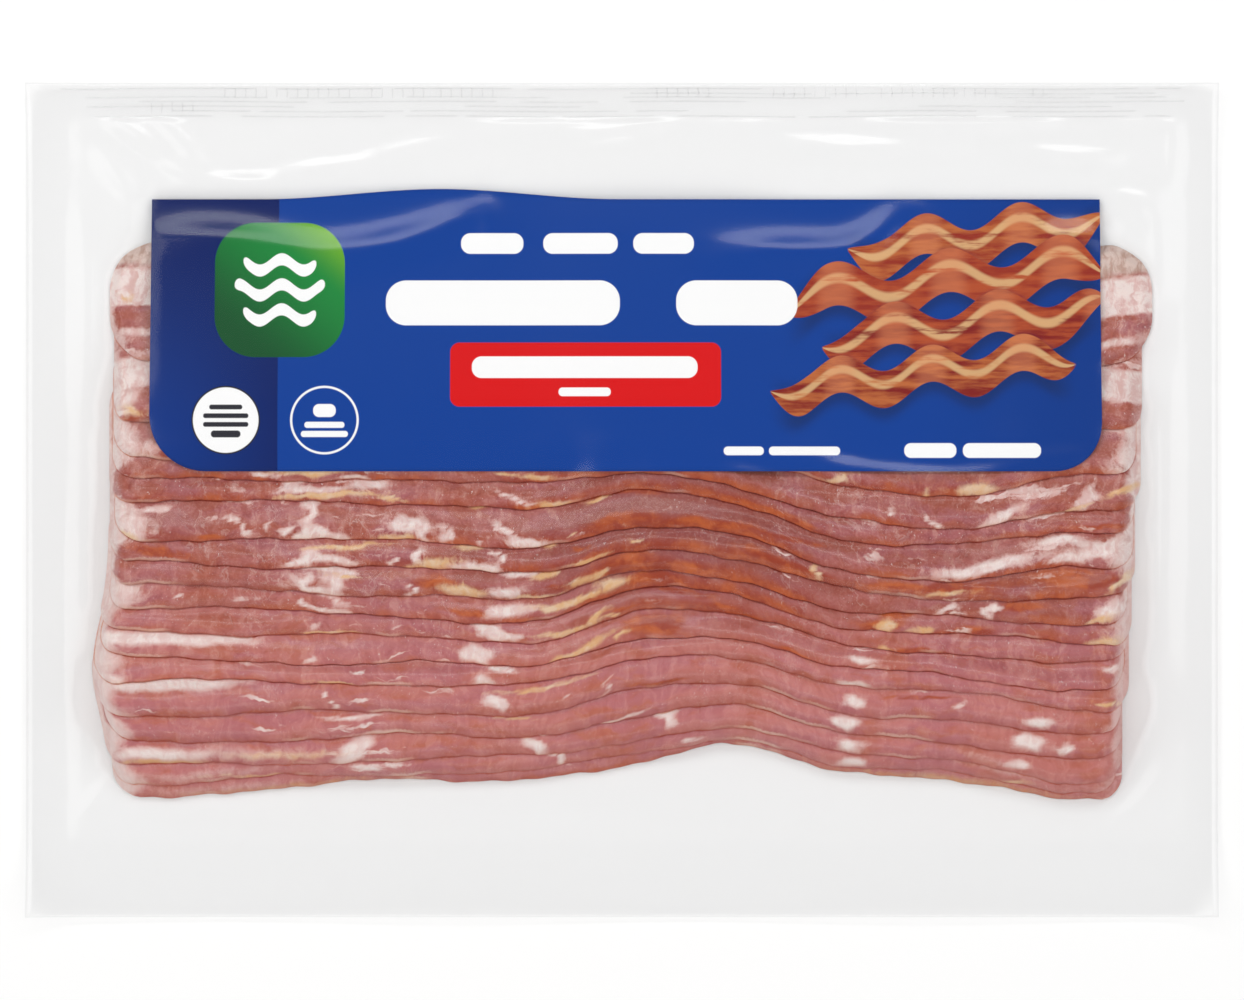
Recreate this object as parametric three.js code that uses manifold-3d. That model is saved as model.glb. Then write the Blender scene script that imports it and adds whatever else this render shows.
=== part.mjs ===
import * as THREE from 'three';
import { mergeVertices } from 'three/addons/utils/BufferGeometryUtils.js';
import Module from 'manifold-3d';

// Shut vacuum bag of sliced bacon lying on its back, in millimetres.
// +X runs along the slices, +Y towards the printed label, +Z up. The bag rests on Z = 0.

// Bag
const bagLength = 276;
const bagWidth = 193;
const webThickness = 0.6; // two films sealed together
const sealLeft = 10;
const sealRight = 8;
const sealFar = 8;
const sealNear = 17;
const sealStep = 0.8; // run of the little step where the seal ends
const looseRise = 0.5; // how far the unsealed film stands above the seal
const filmThickness = 0.3;
const filmSlope = 1.5; // steepest fall of the sucked-down film
const tightBlur = 1;
const filmMargin = 9; // the underside lifts off the ground this far outside the contents

// Contents: slices shingled from the near side to the far side
const sliceCount = 17;
const sliceThickness = 2.6;
const sliceWidth = 29.8;
const sliceWidthSway = 1;
const sliceCorner = 6;
const lastSliceCorner = 11;
const lipRun = 0.9; // rounding of a slice's near edge
const footRun = 0.35;
const tailRun = 10; // a buried far edge is pressed flat over this width
const lastTailRun = 1.4;

// Mean place of each slice's near edge, from the lowest slice to the top one
const edgePlaces = [
  -64.3, -62.4, -59.1, -53.9, -48.4, -41.7, -37.2, -31.4, -26.7,
  -22.3, -16.9, -11.4, -3.2, 1.6, 7.5, 17, 31.5,
];

// The near edges share one wave, which changes from the lowest slice to the top
const waveStations = [-103, -75, -47, -19, 4, 27, 50, 76, 101];
const waveSlices = [0, 8, 13, 16];
const waves = [
  [-4.0, -2.2, -0.7, 0.3, 3.1, 7.5, 1.7, -0.3, -5.4],
  [2.3, 0.8, -0.1, -1.0, 6.3, 4.4, -2.1, -4.0, -6.5],
  [3.0, 3.2, 3.2, 2.1, 4.7, 1.7, -5.9, -8.4, -3.5],
  [0.5, 0.8, 1.0, 1.2, 1.5, 0.6, -0.8, -1.2, 0.3],
];
const edgeWobble = 0.35;

// Ends of the slices
const leftEnd = -118;
const leftBulge = 4;
const leftBulgePlace = -37;
const leftBulgeReach = 12;
const rightEnd = 115;
const rightSpread = 0.065;
const endSway = 0.7;

// Printed label, under the film on the far side
const labelLeft = -108.8;
const labelRight = 110.6;
const labelNear = 6.6;
const labelFar = 69.6;
const labelCrest = 2.4; // the far edge bows out where the film is pulled
const labelCrestPlace = -52;
const labelCornerLeft = 13;
const labelCornerRight = 11;
const labelGap = 0.3;
const labelThickness = 0.4;
const labelSlope = 0.45; // the printed film bridges the steps below it
const bridgingBlur = 14;
const labelBlend = 5;
const labelRowMargin = 12; // rows of the mesh wave by less than this
const labelCutDepth = 40; // deeper than the bag is thick

// Mesh
const endSpacing = 2.2;
const midSpacing = 6;
const endZone = 108;
const endRun = 2.6; // film between the seal and the close columns
const widestPlainStrip = 4.4;
const mapCell = 1.5;
const flatHalfLength = 120; // the flat face of the underside
const flatHalfWidth = 70;
const lowerRimCells = 4;
const lowerCellsAlong = 12;
const lowerCellsAcross = 4;

function smooth(t) {
  const s = Math.min(Math.max(t, 0), 1);
  return s * s * (3 - 2 * s);
}

function mix(a, b, t) {
  return a + (b - a) * t;
}

// A steady small sway that differs from slice to slice
function sway(index, phase) {
  return Math.sin(2.4 * index + phase);
}

// Catmull-Rom curve through values at given stations, level beyond both ends
function curveThrough(stations, values, x) {
  const last = stations.length - 1;
  if (x <= stations[0]) return values[0];
  if (x >= stations[last]) return values[last];
  let i = 0;
  while (x > stations[i + 1]) i += 1;
  const slope = (j) => {
    const a = Math.max(j - 1, 0);
    const b = Math.min(j + 1, last);
    return (values[b] - values[a]) / (stations[b] - stations[a]);
  };
  const run = stations[i + 1] - stations[i];
  const t = (x - stations[i]) / run;
  const rest = 1 - t;
  const startPart = rest * rest * ((1 + 2 * t) * values[i] + t * run * slope(i));
  const endPart = t * t * ((3 - 2 * t) * values[i + 1] - rest * run * slope(i + 1));
  return startPart + endPart;
}

// Slices

function makeSlice(index) {
  const place = edgePlaces[index];
  const top = index === sliceCount - 1;
  const bulge = leftBulge * Math.exp(-(((place - leftBulgePlace) / leftBulgeReach) ** 2));
  return {
    index,
    place,
    left: leftEnd - bulge + endSway * sway(index, 0.4),
    right: rightEnd + rightSpread * (place - edgePlaces[0]) + endSway * sway(index, 2.1),
    width: sliceWidth + sliceWidthSway * sway(index, 1.2),
    corner: top ? lastSliceCorner : sliceCorner,
    tail: top ? lastTailRun : tailRun,
  };
}

const slices = Array.from({ length: sliceCount }, (unused, index) => makeSlice(index));
const topSlice = slices[sliceCount - 1];

function edgeWave(index, x) {
  const later = Math.max(waveSlices.findIndex((slice) => slice >= index), 1);
  const from = waveSlices[later - 1];
  const share = (index - from) / (waveSlices[later] - from);
  const before = curveThrough(waveStations, waves[later - 1], x);
  return mix(before, curveThrough(waveStations, waves[later], x), share);
}

// Near edge of a slice, as a Y for each X
function edgeAt(slice, x) {
  return slice.place + edgeWave(slice.index, x) + edgeWobble * Math.sin(x / 13 + 1.7 * slice.index);
}

// How much of a slice's thickness lies at a point, from 0 outside it to 1
function coverage(slice, x, y) {
  const across = y - edgeAt(slice, x);
  const fromEnd = Math.min(x - slice.left, slice.right - x);
  const fromSide = Math.min(across, slice.width - across);
  const cutX = slice.corner - fromEnd;
  const cutY = slice.corner - fromSide;
  const inCorner = cutX > 0 && cutY > 0;
  const inside = inCorner ? slice.corner - Math.hypot(cutX, cutY) : Math.min(fromEnd, fromSide);
  return smooth(inside / lipRun) * smooth((slice.width - across) / slice.tail);
}

function stackHeight(x, y) {
  let height = 0;
  for (const slice of slices) {
    height += sliceThickness * coverage(slice, x, y);
  }
  return height;
}

// Film

// Heights on a square grid over the bag, which can be tented and smoothed
class HeightMap {
  constructor(cell, heightAt) {
    this.cell = cell;
    this.columns = Math.round(bagLength / cell) + 1;
    this.rows = Math.round(bagWidth / cell) + 1;
    this.heights = [];
    for (let row = 0; row < this.rows; row += 1) {
      for (let column = 0; column < this.columns; column += 1) {
        this.heights.push(heightAt(column * cell - bagLength / 2, row * cell - bagWidth / 2));
      }
    }
  }

  // No point falls away from its neighbours faster than the slope
  tent(slope) {
    const drop = slope * this.cell;
    const size = this.heights.length;
    const near = [[1, drop], [this.columns, drop], [this.columns + 1, drop * Math.SQRT2]];
    near.push([this.columns - 1, drop * Math.SQRT2]);
    for (const direction of [-1, 1]) {
      for (let step = 0; step < size; step += 1) {
        const index = direction < 0 ? step : size - 1 - step;
        for (const [offset, fall] of near) {
          const other = this.heights[index + direction * offset];
          if (other !== undefined && other - fall > this.heights[index]) {
            this.heights[index] = other - fall;
          }
        }
      }
    }
    return this;
  }

  blur(passes) {
    for (let pass = 0; pass < passes; pass += 1) {
      for (const offset of [1, this.columns]) {
        const before = this.heights;
        this.heights = before.map((height, index) => {
          const a = before[index - offset] ?? height;
          const b = before[index + offset] ?? height;
          return (a + 2 * height + b) / 4;
        });
      }
    }
    return this;
  }

  at(x, y) {
    const u = Math.min(Math.max((x + bagLength / 2) / this.cell, 0), this.columns - 1.001);
    const v = Math.min(Math.max((y + bagWidth / 2) / this.cell, 0), this.rows - 1.001);
    const column = Math.floor(u);
    const row = Math.floor(v);
    const index = row * this.columns + column;
    const low = mix(this.heights[index], this.heights[index + 1], u - column);
    const above = index + this.columns;
    const high = mix(this.heights[above], this.heights[above + 1], u - column);
    return mix(low, high, v - row);
  }
}

const tightFilm = new HeightMap(mapCell, stackHeight).tent(filmSlope).blur(tightBlur);
const bridgingFilm = new HeightMap(mapCell, stackHeight).tent(labelSlope).blur(bridgingBlur);

// 1 under the label, fading to 0 around it
function labelShare(x, y) {
  const side = Math.min(x - labelLeft, labelRight - x);
  const end = Math.min(y - labelNear, labelFar - y);
  return smooth(1 + Math.min(side, end) / labelBlend);
}

const contentsFar = topSlice.place + topSlice.width;
const contentsNear = edgePlaces[0];
const contentsSide = Math.max(-leftEnd + leftBulge, topSlice.right);

// How far a point lies outside the contents, as shares of the way to the bag's edges
function outward(x, y) {
  const side = contentsSide + 2;
  const far = contentsFar + filmMargin;
  const near = contentsNear - filmMargin;
  const alongX = Math.max(Math.abs(x) - side, 0) / (bagLength / 2 - side);
  const beyondFar = Math.max(y - far, 0) / (bagWidth / 2 - far);
  const beyondNear = Math.max(near - y, 0) / (near + bagWidth / 2);
  return [alongX, Math.max(beyondFar, beyondNear)];
}

// Underside: flat below the contents, a lightly waving rim around them
function bottomHeight(x, y) {
  const [alongX, alongY] = outward(x, y);
  const rim = 0.7 * alongX ** 2 + alongY ** 2;
  const corners = 1.6 * alongX ** 2 * alongY ** 2;
  const ripple = 0.35 * (1 + Math.sin(x / 17 + y / 40)) * alongY ** 2;
  return rim + corners + ripple;
}

// 0 on the seal and 1 on the loose film inside it
function insideSeal(x, y) {
  const fromLeft = x + bagLength / 2 - sealLeft;
  const fromRight = bagLength / 2 - sealRight - x;
  const fromNear = y + bagWidth / 2 - sealNear;
  const fromFar = bagWidth / 2 - sealFar - y;
  return smooth(Math.min(fromLeft, fromRight, fromNear, fromFar) / sealStep);
}

function topHeight(x, y) {
  const stack = stackHeight(x, y);
  const film = mix(tightFilm.at(x, y), bridgingFilm.at(x, y), labelShare(x, y));
  const rim = bottomHeight(x, y) + webThickness + looseRise * insideSeal(x, y);
  return Math.max(stack + filmThickness, film + filmThickness, rim);
}

// Meshes

// Rows of the upper mesh: each is a Y for each X, in rising order
function upperRows() {
  const nearEdge = -bagWidth / 2;
  const farEdge = bagWidth / 2;
  const nearSeal = nearEdge + sealNear;
  const farSeal = farEdge - sealFar;
  const first = (x) => edgeAt(slices[0], x);
  const last = (x) => edgeAt(topSlice, x) + topSlice.width;
  const rows = [() => nearEdge, () => mix(nearEdge, nearSeal, 0.5)];
  rows.push(() => nearSeal, () => nearSeal + sealStep, (x) => first(x) - 4);
  slices.forEach((slice, index) => {
    rows.push((x) => edgeAt(slice, x) - footRun, (x) => edgeAt(slice, x) + lipRun);
    const strip = (index + 1 < sliceCount ? edgePlaces[index + 1] : contentsFar) - slice.place;
    const extra = Math.min(Math.round(strip / widestPlainStrip) - 1, 4);
    const end = index + 1 < sliceCount ? (x) => edgeAt(slices[index + 1], x) - footRun : last;
    for (let part = 1; part <= extra; part += 1) {
      rows.push((x) => mix(edgeAt(slice, x) + lipRun, end(x), part / (extra + 1)));
    }
  });
  rows.push((x) => last(x) - lipRun, last, (x) => last(x) + 3, (x) => mix(last(x), farSeal, 0.4));
  rows.push((x) => mix(last(x), farSeal, 0.7), () => farSeal - sealStep, () => farSeal);
  rows.push(() => farEdge);
  return rows;
}

// Columns are close together at the ends of the slices
function upperColumns() {
  const left = -bagLength / 2;
  const right = bagLength / 2;
  const columns = [left, mix(left, left + sealLeft, 0.5), left + sealLeft];
  columns.push(left + sealLeft + sealStep);
  const spread = (from, to, spacing) => {
    const count = Math.round((to - from) / spacing);
    for (let i = 0; i < count; i += 1) columns.push(mix(from, to, i / count));
  };
  spread(left + sealLeft + endRun, -endZone, endSpacing);
  spread(-endZone, endZone, midSpacing);
  spread(endZone, right - sealRight - endRun, endSpacing);
  columns.push(right - sealRight - endRun, right - sealRight - sealStep, right - sealRight);
  columns.push(mix(right - sealRight, right, 0.5), right);
  return columns;
}

function gridPoints(columns, rows, heightAt) {
  const points = [];
  for (const row of rows) {
    for (const x of columns) {
      const y = row(x);
      points.push([x, y, heightAt(x, y)]);
    }
  }
  return points;
}

// Triangles of a grid, with diagonals that alternate; parity 1 swaps them over
function gridTriangles(columnCount, rowCount, facesUp, { parity = 0, keep = () => true } = {}) {
  const triangles = [];
  for (let row = 0; row + 1 < rowCount; row += 1) {
    for (let column = 0; column + 1 < columnCount; column += 1) {
      if (keep(column, row)) {
        const a = row * columnCount + column;
        const b = a + 1;
        const c = b + columnCount;
        const d = a + columnCount;
        const odd = (row + column + parity) % 2;
        const pair = odd ? [[a, b, c], [a, c, d]] : [[a, b, d], [b, c, d]];
        for (const [p, q, r] of pair) triangles.push(facesUp ? [p, q, r] : [p, r, q]);
      }
    }
  }
  return triangles;
}

// Indices round the edge of a grid, anticlockwise seen from above
function gridRim(columnCount, rowCount) {
  const rim = [];
  for (let column = 0; column < columnCount - 1; column += 1) rim.push(column);
  for (let row = 0; row < rowCount - 1; row += 1) rim.push(row * columnCount + columnCount - 1);
  const last = (rowCount - 1) * columnCount;
  for (let column = columnCount - 1; column > 0; column -= 1) rim.push(last + column);
  for (let row = rowCount - 1; row > 0; row -= 1) rim.push(row * columnCount);
  return rim;
}

// Angle round the bag from its near left corner, which puts the points of both rims in one order
function aroundBag(point) {
  const angle = Math.atan2(point[1] / bagWidth, point[0] / bagLength) + 0.75 * Math.PI;
  return angle < -1e-9 ? angle + 2 * Math.PI : Math.max(angle, 0);
}

// Wall between an upper and a lower rim that have different numbers of points
function stitchRims(points, upper, lower) {
  const triangles = [];
  const turn = (rim, step) => (step < rim.length ? aroundBag(points[rim[step]]) : 2 * Math.PI);
  let i = 0;
  let j = 0;
  while (i < upper.length || j < lower.length) {
    const a = upper[i % upper.length];
    const b = lower[j % lower.length];
    const upperIsNext = turn(upper, i + 1) <= turn(lower, j + 1);
    if (j >= lower.length || (i < upper.length && upperIsNext)) {
      triangles.push([b, upper[(i + 1) % upper.length], a]);
      i += 1;
    } else {
      triangles.push([b, lower[(j + 1) % lower.length], a]);
      j += 1;
    }
  }
  return triangles;
}

function geometryFrom(points, triangles) {
  const geometry = new THREE.BufferGeometry();
  geometry.setAttribute('position', new THREE.Float32BufferAttribute(points.flat(), 3));
  geometry.setIndex(triangles.flat());
  return geometry;
}

const columns = upperColumns();
const rows = upperRows();
const upperPoints = gridPoints(columns, rows, topHeight);

// Places along one side of the underside: close cells in the rim, wide ones in the flat middle
function lowerPlaces(half, flatHalf, flatCells) {
  const places = [];
  for (let i = 0; i < lowerRimCells; i += 1) places.push(mix(-half, -flatHalf, i / lowerRimCells));
  for (let i = 0; i < flatCells; i += 1) places.push(mix(-flatHalf, flatHalf, i / flatCells));
  for (let i = 0; i <= lowerRimCells; i += 1) places.push(mix(flatHalf, half, i / lowerRimCells));
  return places;
}

const lowerAlong = lowerPlaces(bagLength / 2, flatHalfLength, lowerCellsAlong);
const lowerAcross = lowerPlaces(bagWidth / 2, flatHalfWidth, lowerCellsAcross);

function bagGeometry() {
  const lowerRows = lowerAcross.map((y) => () => y);
  const lowerPoints = gridPoints(lowerAlong, lowerRows, bottomHeight);
  const points = upperPoints.concat(lowerPoints);
  const start = upperPoints.length;
  const triangles = gridTriangles(columns.length, rows.length, true);
  const onRim = (place, count) => place < lowerRimCells || place >= lowerRimCells + count;
  const keep = (column, row) => onRim(column, lowerCellsAlong) || onRim(row, lowerCellsAcross);
  const lower = gridTriangles(lowerAlong.length, lowerRows.length, false, { keep });
  lower.push(...flatFace());
  triangles.push(...lower.map((triangle) => triangle.map((index) => index + start)));
  const upperRim = gridRim(columns.length, rows.length);
  const lowerRim = gridRim(lowerAlong.length, lowerRows.length).map((index) => index + start);
  triangles.push(...stitchRims(points, upperRim, lowerRim));
  return geometryFrom(points, triangles);
}

// The flat middle of the underside, triangulated from the grid points on its edge
function flatFace() {
  const width = lowerAlong.length;
  const left = lowerRimCells;
  const right = left + lowerCellsAlong;
  const near = lowerRimCells;
  const far = near + lowerCellsAcross;
  const ring = [];
  for (let column = left; column < right; column += 1) ring.push(near * width + column);
  for (let row = near; row < far; row += 1) ring.push(row * width + right);
  for (let column = right; column > left; column -= 1) ring.push(far * width + column);
  for (let row = far; row > near; row -= 1) ring.push(row * width + left);
  const outline = ring.map((index) => {
    return new THREE.Vector2(lowerAlong[index % width], lowerAcross[Math.floor(index / width)]);
  });
  const faces = THREE.ShapeUtils.triangulateShape(outline, []);
  return faces.map(([a, b, c]) => [ring[a], ring[c], ring[b]]);
}

// Label

function labelOutline() {
  const outline = new THREE.Shape();
  const leftCentre = labelLeft + labelCornerLeft;
  const rightCentre = labelRight - labelCornerRight;
  const halfTurn = Math.PI;
  outline.moveTo(labelLeft, labelFar);
  outline.absarc(leftCentre, labelNear + labelCornerLeft, labelCornerLeft, halfTurn, 1.5 * halfTurn);
  outline.absarc(rightCentre, labelNear + labelCornerRight, labelCornerRight, -0.5 * halfTurn, 0);
  outline.lineTo(labelRight, labelFar);
  outline.lineTo(0, labelFar);
  outline.quadraticCurveTo(labelCrestPlace, labelFar + 2 * labelCrest, labelLeft, labelFar);
  return outline;
}

// Places of a list that lie between two values, with one more on each side
function placesWithin(values, from, to) {
  const first = values.findIndex((value) => value > from) - 1;
  const last = values.findLastIndex((value) => value < to) + 1;
  return Array.from({ length: last - first + 1 }, (unused, step) => first + step);
}

// A slab that lies a small gap above the upper mesh, over the part of it that the label covers
function labelSlab() {
  const wide = placesWithin(columns, labelLeft, labelRight);
  const rowPlaces = rows.map((row) => row(0));
  const high = placesWithin(rowPlaces, labelNear - labelRowMargin, labelFar + labelRowMargin);
  const layer = (rise) => high.flatMap((row) => wide.map((column) => {
    const [x, y, z] = upperPoints[row * columns.length + column];
    return [x, y, z + rise];
  }));
  const upper = layer(labelGap + labelThickness);
  const points = upper.concat(layer(labelGap));
  const parity = (wide[0] + high[0]) % 2;
  const triangles = gridTriangles(wide.length, high.length, true, { parity });
  const under = gridTriangles(wide.length, high.length, false, { parity });
  triangles.push(...under.map((triangle) => triangle.map((index) => index + upper.length)));
  const rim = gridRim(wide.length, high.length);
  rim.forEach((index, step) => {
    const next = rim[(step + 1) % rim.length];
    const below = index + upper.length;
    triangles.push([below, next, index], [below, next + upper.length, next]);
  });
  return geometryFrom(points, triangles);
}

const wasm = await Module();
wasm.setup();

function solidFrom(geometry) {
  geometry.deleteAttribute('normal');
  geometry.deleteAttribute('uv');
  const merged = mergeVertices(geometry, 1e-5);
  const vertProperties = new Float32Array(merged.getAttribute('position').array);
  const triVerts = new Uint32Array(merged.getIndex().array);
  return new wasm.Manifold(new wasm.Mesh({ numProp: 3, vertProperties, triVerts }));
}

function geometryFromSolid(solid) {
  const mesh = solid.getMesh();
  const geometry = new THREE.BufferGeometry();
  geometry.setAttribute('position', new THREE.BufferAttribute(mesh.vertProperties, 3));
  geometry.setIndex(new THREE.BufferAttribute(mesh.triVerts, 1));
  return geometry;
}

function labelGeometry() {
  const options = { depth: labelCutDepth, bevelEnabled: false, curveSegments: 7 };
  const block = new THREE.ExtrudeGeometry(labelOutline(), options);
  return geometryFromSolid(solidFrom(labelSlab()).intersect(solidFrom(block)));
}

// Parts

function piece(name, geometry, color, roughness) {
  geometry.computeVertexNormals();
  const material = new THREE.MeshStandardMaterial({ color, roughness, metalness: 0 });
  const mesh = new THREE.Mesh(geometry, material);
  mesh.name = name;
  return mesh;
}

const baconPack = new THREE.Group();
baconPack.add(piece('sealed_pack', bagGeometry(), 0xb97e7a, 0.25));
baconPack.add(piece('printed_label', labelGeometry(), 0x214c9c, 0.35));

export default baconPack;
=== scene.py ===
import math
import bpy
import numpy as np
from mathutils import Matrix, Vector


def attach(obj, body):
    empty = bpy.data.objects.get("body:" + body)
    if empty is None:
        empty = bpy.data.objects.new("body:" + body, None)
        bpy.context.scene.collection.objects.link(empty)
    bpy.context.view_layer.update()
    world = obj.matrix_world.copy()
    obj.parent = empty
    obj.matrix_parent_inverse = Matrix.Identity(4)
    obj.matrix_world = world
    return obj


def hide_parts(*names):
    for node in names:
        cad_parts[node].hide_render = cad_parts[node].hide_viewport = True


# A shut vacuum bag of sliced raw bacon lying on its back.
# Shapes are worked out in millimetres and become metres when their mesh is made.
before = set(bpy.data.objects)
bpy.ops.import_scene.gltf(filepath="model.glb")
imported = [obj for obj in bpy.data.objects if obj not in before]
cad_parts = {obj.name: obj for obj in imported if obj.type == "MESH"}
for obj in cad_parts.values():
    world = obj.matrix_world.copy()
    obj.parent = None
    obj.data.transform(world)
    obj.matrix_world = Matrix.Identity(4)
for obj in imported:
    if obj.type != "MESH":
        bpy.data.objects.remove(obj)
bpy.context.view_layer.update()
metre = 0.001

# Camera, floor and light

camera = dict(frameWidth=288.2, lens=200.0, sensor=36.0, centre=(0.0, 0.0))

studio = dict(
    floorSize=6000.0,
    floorHeight=-0.08,
    floorColour=(0.98, 0.98, 0.98),
    skyColour=(1.0, 1.0, 1.0),
    skyStrength=0.34,
    lamps=[
        # name, place, aimed at, length and width, power, colour
        ("keyLamp", (-950, 120, 1100), (0, 0, 0), (1300, 1300), 7.9, (1.0, 0.995, 0.98)),
        ("fillLamp", (980, -150, 1050), (0, 0, 0), (1300, 1300), 7.2, (1.0, 1.0, 1.0)),
        ("nearLamp", (-60, -1100, 800), (0, -40, 0), (1500, 500), 3.4, (1.0, 0.995, 0.98)),
        ("stripLamp", (-40, 640, 700), (0, 60, 0), (1000, 200), 2.6, (1.0, 1.0, 1.0)),
    ],
)


def aimAt(thing, place, target):
    thing.location = Vector(place) * metre
    thing.rotation_euler = (Vector(target) - Vector(place)).to_track_quat("-Z", "Y").to_euler()


def makeCamera():
    lens = bpy.data.cameras.new("packCamera")
    lens.lens = camera["lens"]
    lens.sensor_width = camera["sensor"]
    lens.sensor_fit = "HORIZONTAL"
    eye = bpy.data.objects.new("packCamera", lens)
    bpy.context.scene.collection.objects.link(eye)
    x, y = camera["centre"]
    height = camera["frameWidth"] / camera["sensor"] * camera["lens"]
    eye.location = Vector((x, y, height)) * metre
    bpy.context.scene.camera = eye


def makeLamp(name, place, target, size, power, colour):
    lamp = bpy.data.lights.new(name, "AREA")
    lamp.shape = "RECTANGLE"
    lamp.size, lamp.size_y = size[0] * metre, size[1] * metre
    lamp.energy = power
    lamp.color = colour
    holder = bpy.data.objects.new(name, lamp)
    bpy.context.scene.collection.objects.link(holder)
    aimAt(holder, place, target)


def makeStudio():
    scene = bpy.context.scene
    scene.view_settings.view_transform = "Standard"
    world = bpy.data.worlds.new("paleRoom")
    world.use_nodes = True
    sky = world.node_tree.nodes["Background"]
    sky.inputs["Color"].default_value = (*studio["skyColour"], 1)
    sky.inputs["Strength"].default_value = studio["skyStrength"]
    scene.world = world
    for lamp in studio["lamps"]:
        makeLamp(*lamp)
    half = studio["floorSize"] / 2 * metre
    low = studio["floorHeight"] * metre
    corners = [(-half, -half, low), (half, -half, low), (half, half, low), (-half, half, low)]
    mesh = bpy.data.meshes.new("paleFloor")
    mesh.from_pydata(corners, [], [(0, 1, 2, 3)])
    floor = bpy.data.objects.new("paleFloor", mesh)
    scene.collection.objects.link(floor)
    paint = bpy.data.materials.new("paleFloor")
    paint.use_nodes = True
    shader = paint.node_tree.nodes["Principled BSDF"]
    shader.inputs["Base Color"].default_value = (*studio["floorColour"], 1)
    shader.inputs["Roughness"].default_value = 0.8
    shader.inputs["Specular IOR Level"].default_value = 0.2
    mesh.materials.append(paint)


makeCamera()
makeStudio()
print("camera, floor and lamps are in place")

# Shader expressions


class Signal:
    # One value in a material's nodes; arithmetic on it adds Math nodes
    def __init__(self, finish, socket):
        self.finish = finish
        self.socket = socket

    def calculate(self, operation, *values):
        return self.finish.node("ShaderNodeMath", dict(operation=operation), dict(enumerate(values)))

    def __add__(self, other):
        return self.calculate("ADD", self, other)

    def __radd__(self, other):
        return self.calculate("ADD", other, self)

    def __sub__(self, other):
        return self.calculate("SUBTRACT", self, other)

    def __rsub__(self, other):
        return self.calculate("SUBTRACT", other, self)

    def __mul__(self, other):
        return self.calculate("MULTIPLY", self, other)

    def __rmul__(self, other):
        return self.calculate("MULTIPLY", other, self)

    def __truediv__(self, other):
        return self.calculate("DIVIDE", self, other)

    def __rtruediv__(self, other):
        return self.calculate("DIVIDE", other, self)

    def __abs__(self):
        return self.calculate("ABSOLUTE", self)

    def sine(self):
        return self.calculate("SINE", self)

    def most(self, other):
        return self.calculate("MAXIMUM", self, other)

    def ramp(self, start, end):
        # 0 at start and 1 at end, with soft ends
        settings = dict(interpolation_type="SMOOTHSTEP")
        places = {"Value": self, "From Min": start, "From Max": end}
        return self.finish.node("ShaderNodeMapRange", settings, places)


class NodeGraph:
    # Adds nodes to a tree, settings first and then what feeds their inputs
    def __init__(self, tree):
        self.tree = tree

    def feed(self, node, place, value):
        if isinstance(value, Signal):
            self.tree.links.new(value.socket, node.inputs[place])
        elif isinstance(value, (tuple, list)) and node.inputs[place].type == "RGBA":
            node.inputs[place].default_value = (*value, 1)
        else:
            node.inputs[place].default_value = value

    def node(self, kind, settings=None, places=None, output=0):
        made = self.tree.nodes.new(kind)
        for name, value in (settings or {}).items():
            setattr(made, name, value)
        for place, value in (places or {}).items():
            self.feed(made, place, value)
        return Signal(self, made.outputs[output])

    def parts(self, vector):
        split = vector.finish.node("ShaderNodeSeparateXYZ", places={0: vector})
        outputs = split.socket.node.outputs
        return [Signal(self, outputs[place]) for place in range(3)]

    def vector(self, x, y, z):
        return self.node("ShaderNodeCombineXYZ", places={0: x, 1: y, 2: z})

    def stretched(self, vector, x, y, z):
        return self.node("ShaderNodeVectorMath", dict(operation="MULTIPLY"), {0: vector, 1: (x, y, z)})


class Finish(NodeGraph):
    # A material whose nodes are written as expressions
    def __init__(self, name, **constants):
        self.material = bpy.data.materials.new(name)
        self.material.use_nodes = True
        super().__init__(self.material.node_tree)
        self.shader = self.tree.nodes["Principled BSDF"]
        self.output = self.tree.nodes["Material Output"]
        for socket, value in constants.items():
            self.feed(self.shader, socket.replace("_", " "), value)

    def attribute(self, name, output="Fac"):
        return self.node("ShaderNodeAttribute", dict(attribute_name=name), output=output)

    def point(self):
        return self.node("ShaderNodeTexCoord", output="Object")

    def noise(self, vector, scale, detail=2.0, roughness=0.5, output="Fac"):
        places = {"Vector": vector, "Scale": scale, "Detail": detail, "Roughness": roughness}
        return self.node("ShaderNodeTexNoise", None, places, output)

    def blend(self, share, low, high):
        places = {0: share, 6: low, 7: high}
        return self.node("ShaderNodeMix", dict(data_type="RGBA"), places, output=2)

    def shade(self, share, colour, tint):
        # multiplies a colour by a tint where the share is 1
        places = {0: share, 6: colour, 7: tint}
        settings = dict(data_type="RGBA", blend_type="MULTIPLY")
        return self.node("ShaderNodeMix", settings, places, output=2)

    def bump(self, height, strength, distance):
        places = {"Height": height, "Strength": strength, "Distance": distance}
        return self.node("ShaderNodeBump", None, places)


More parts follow.
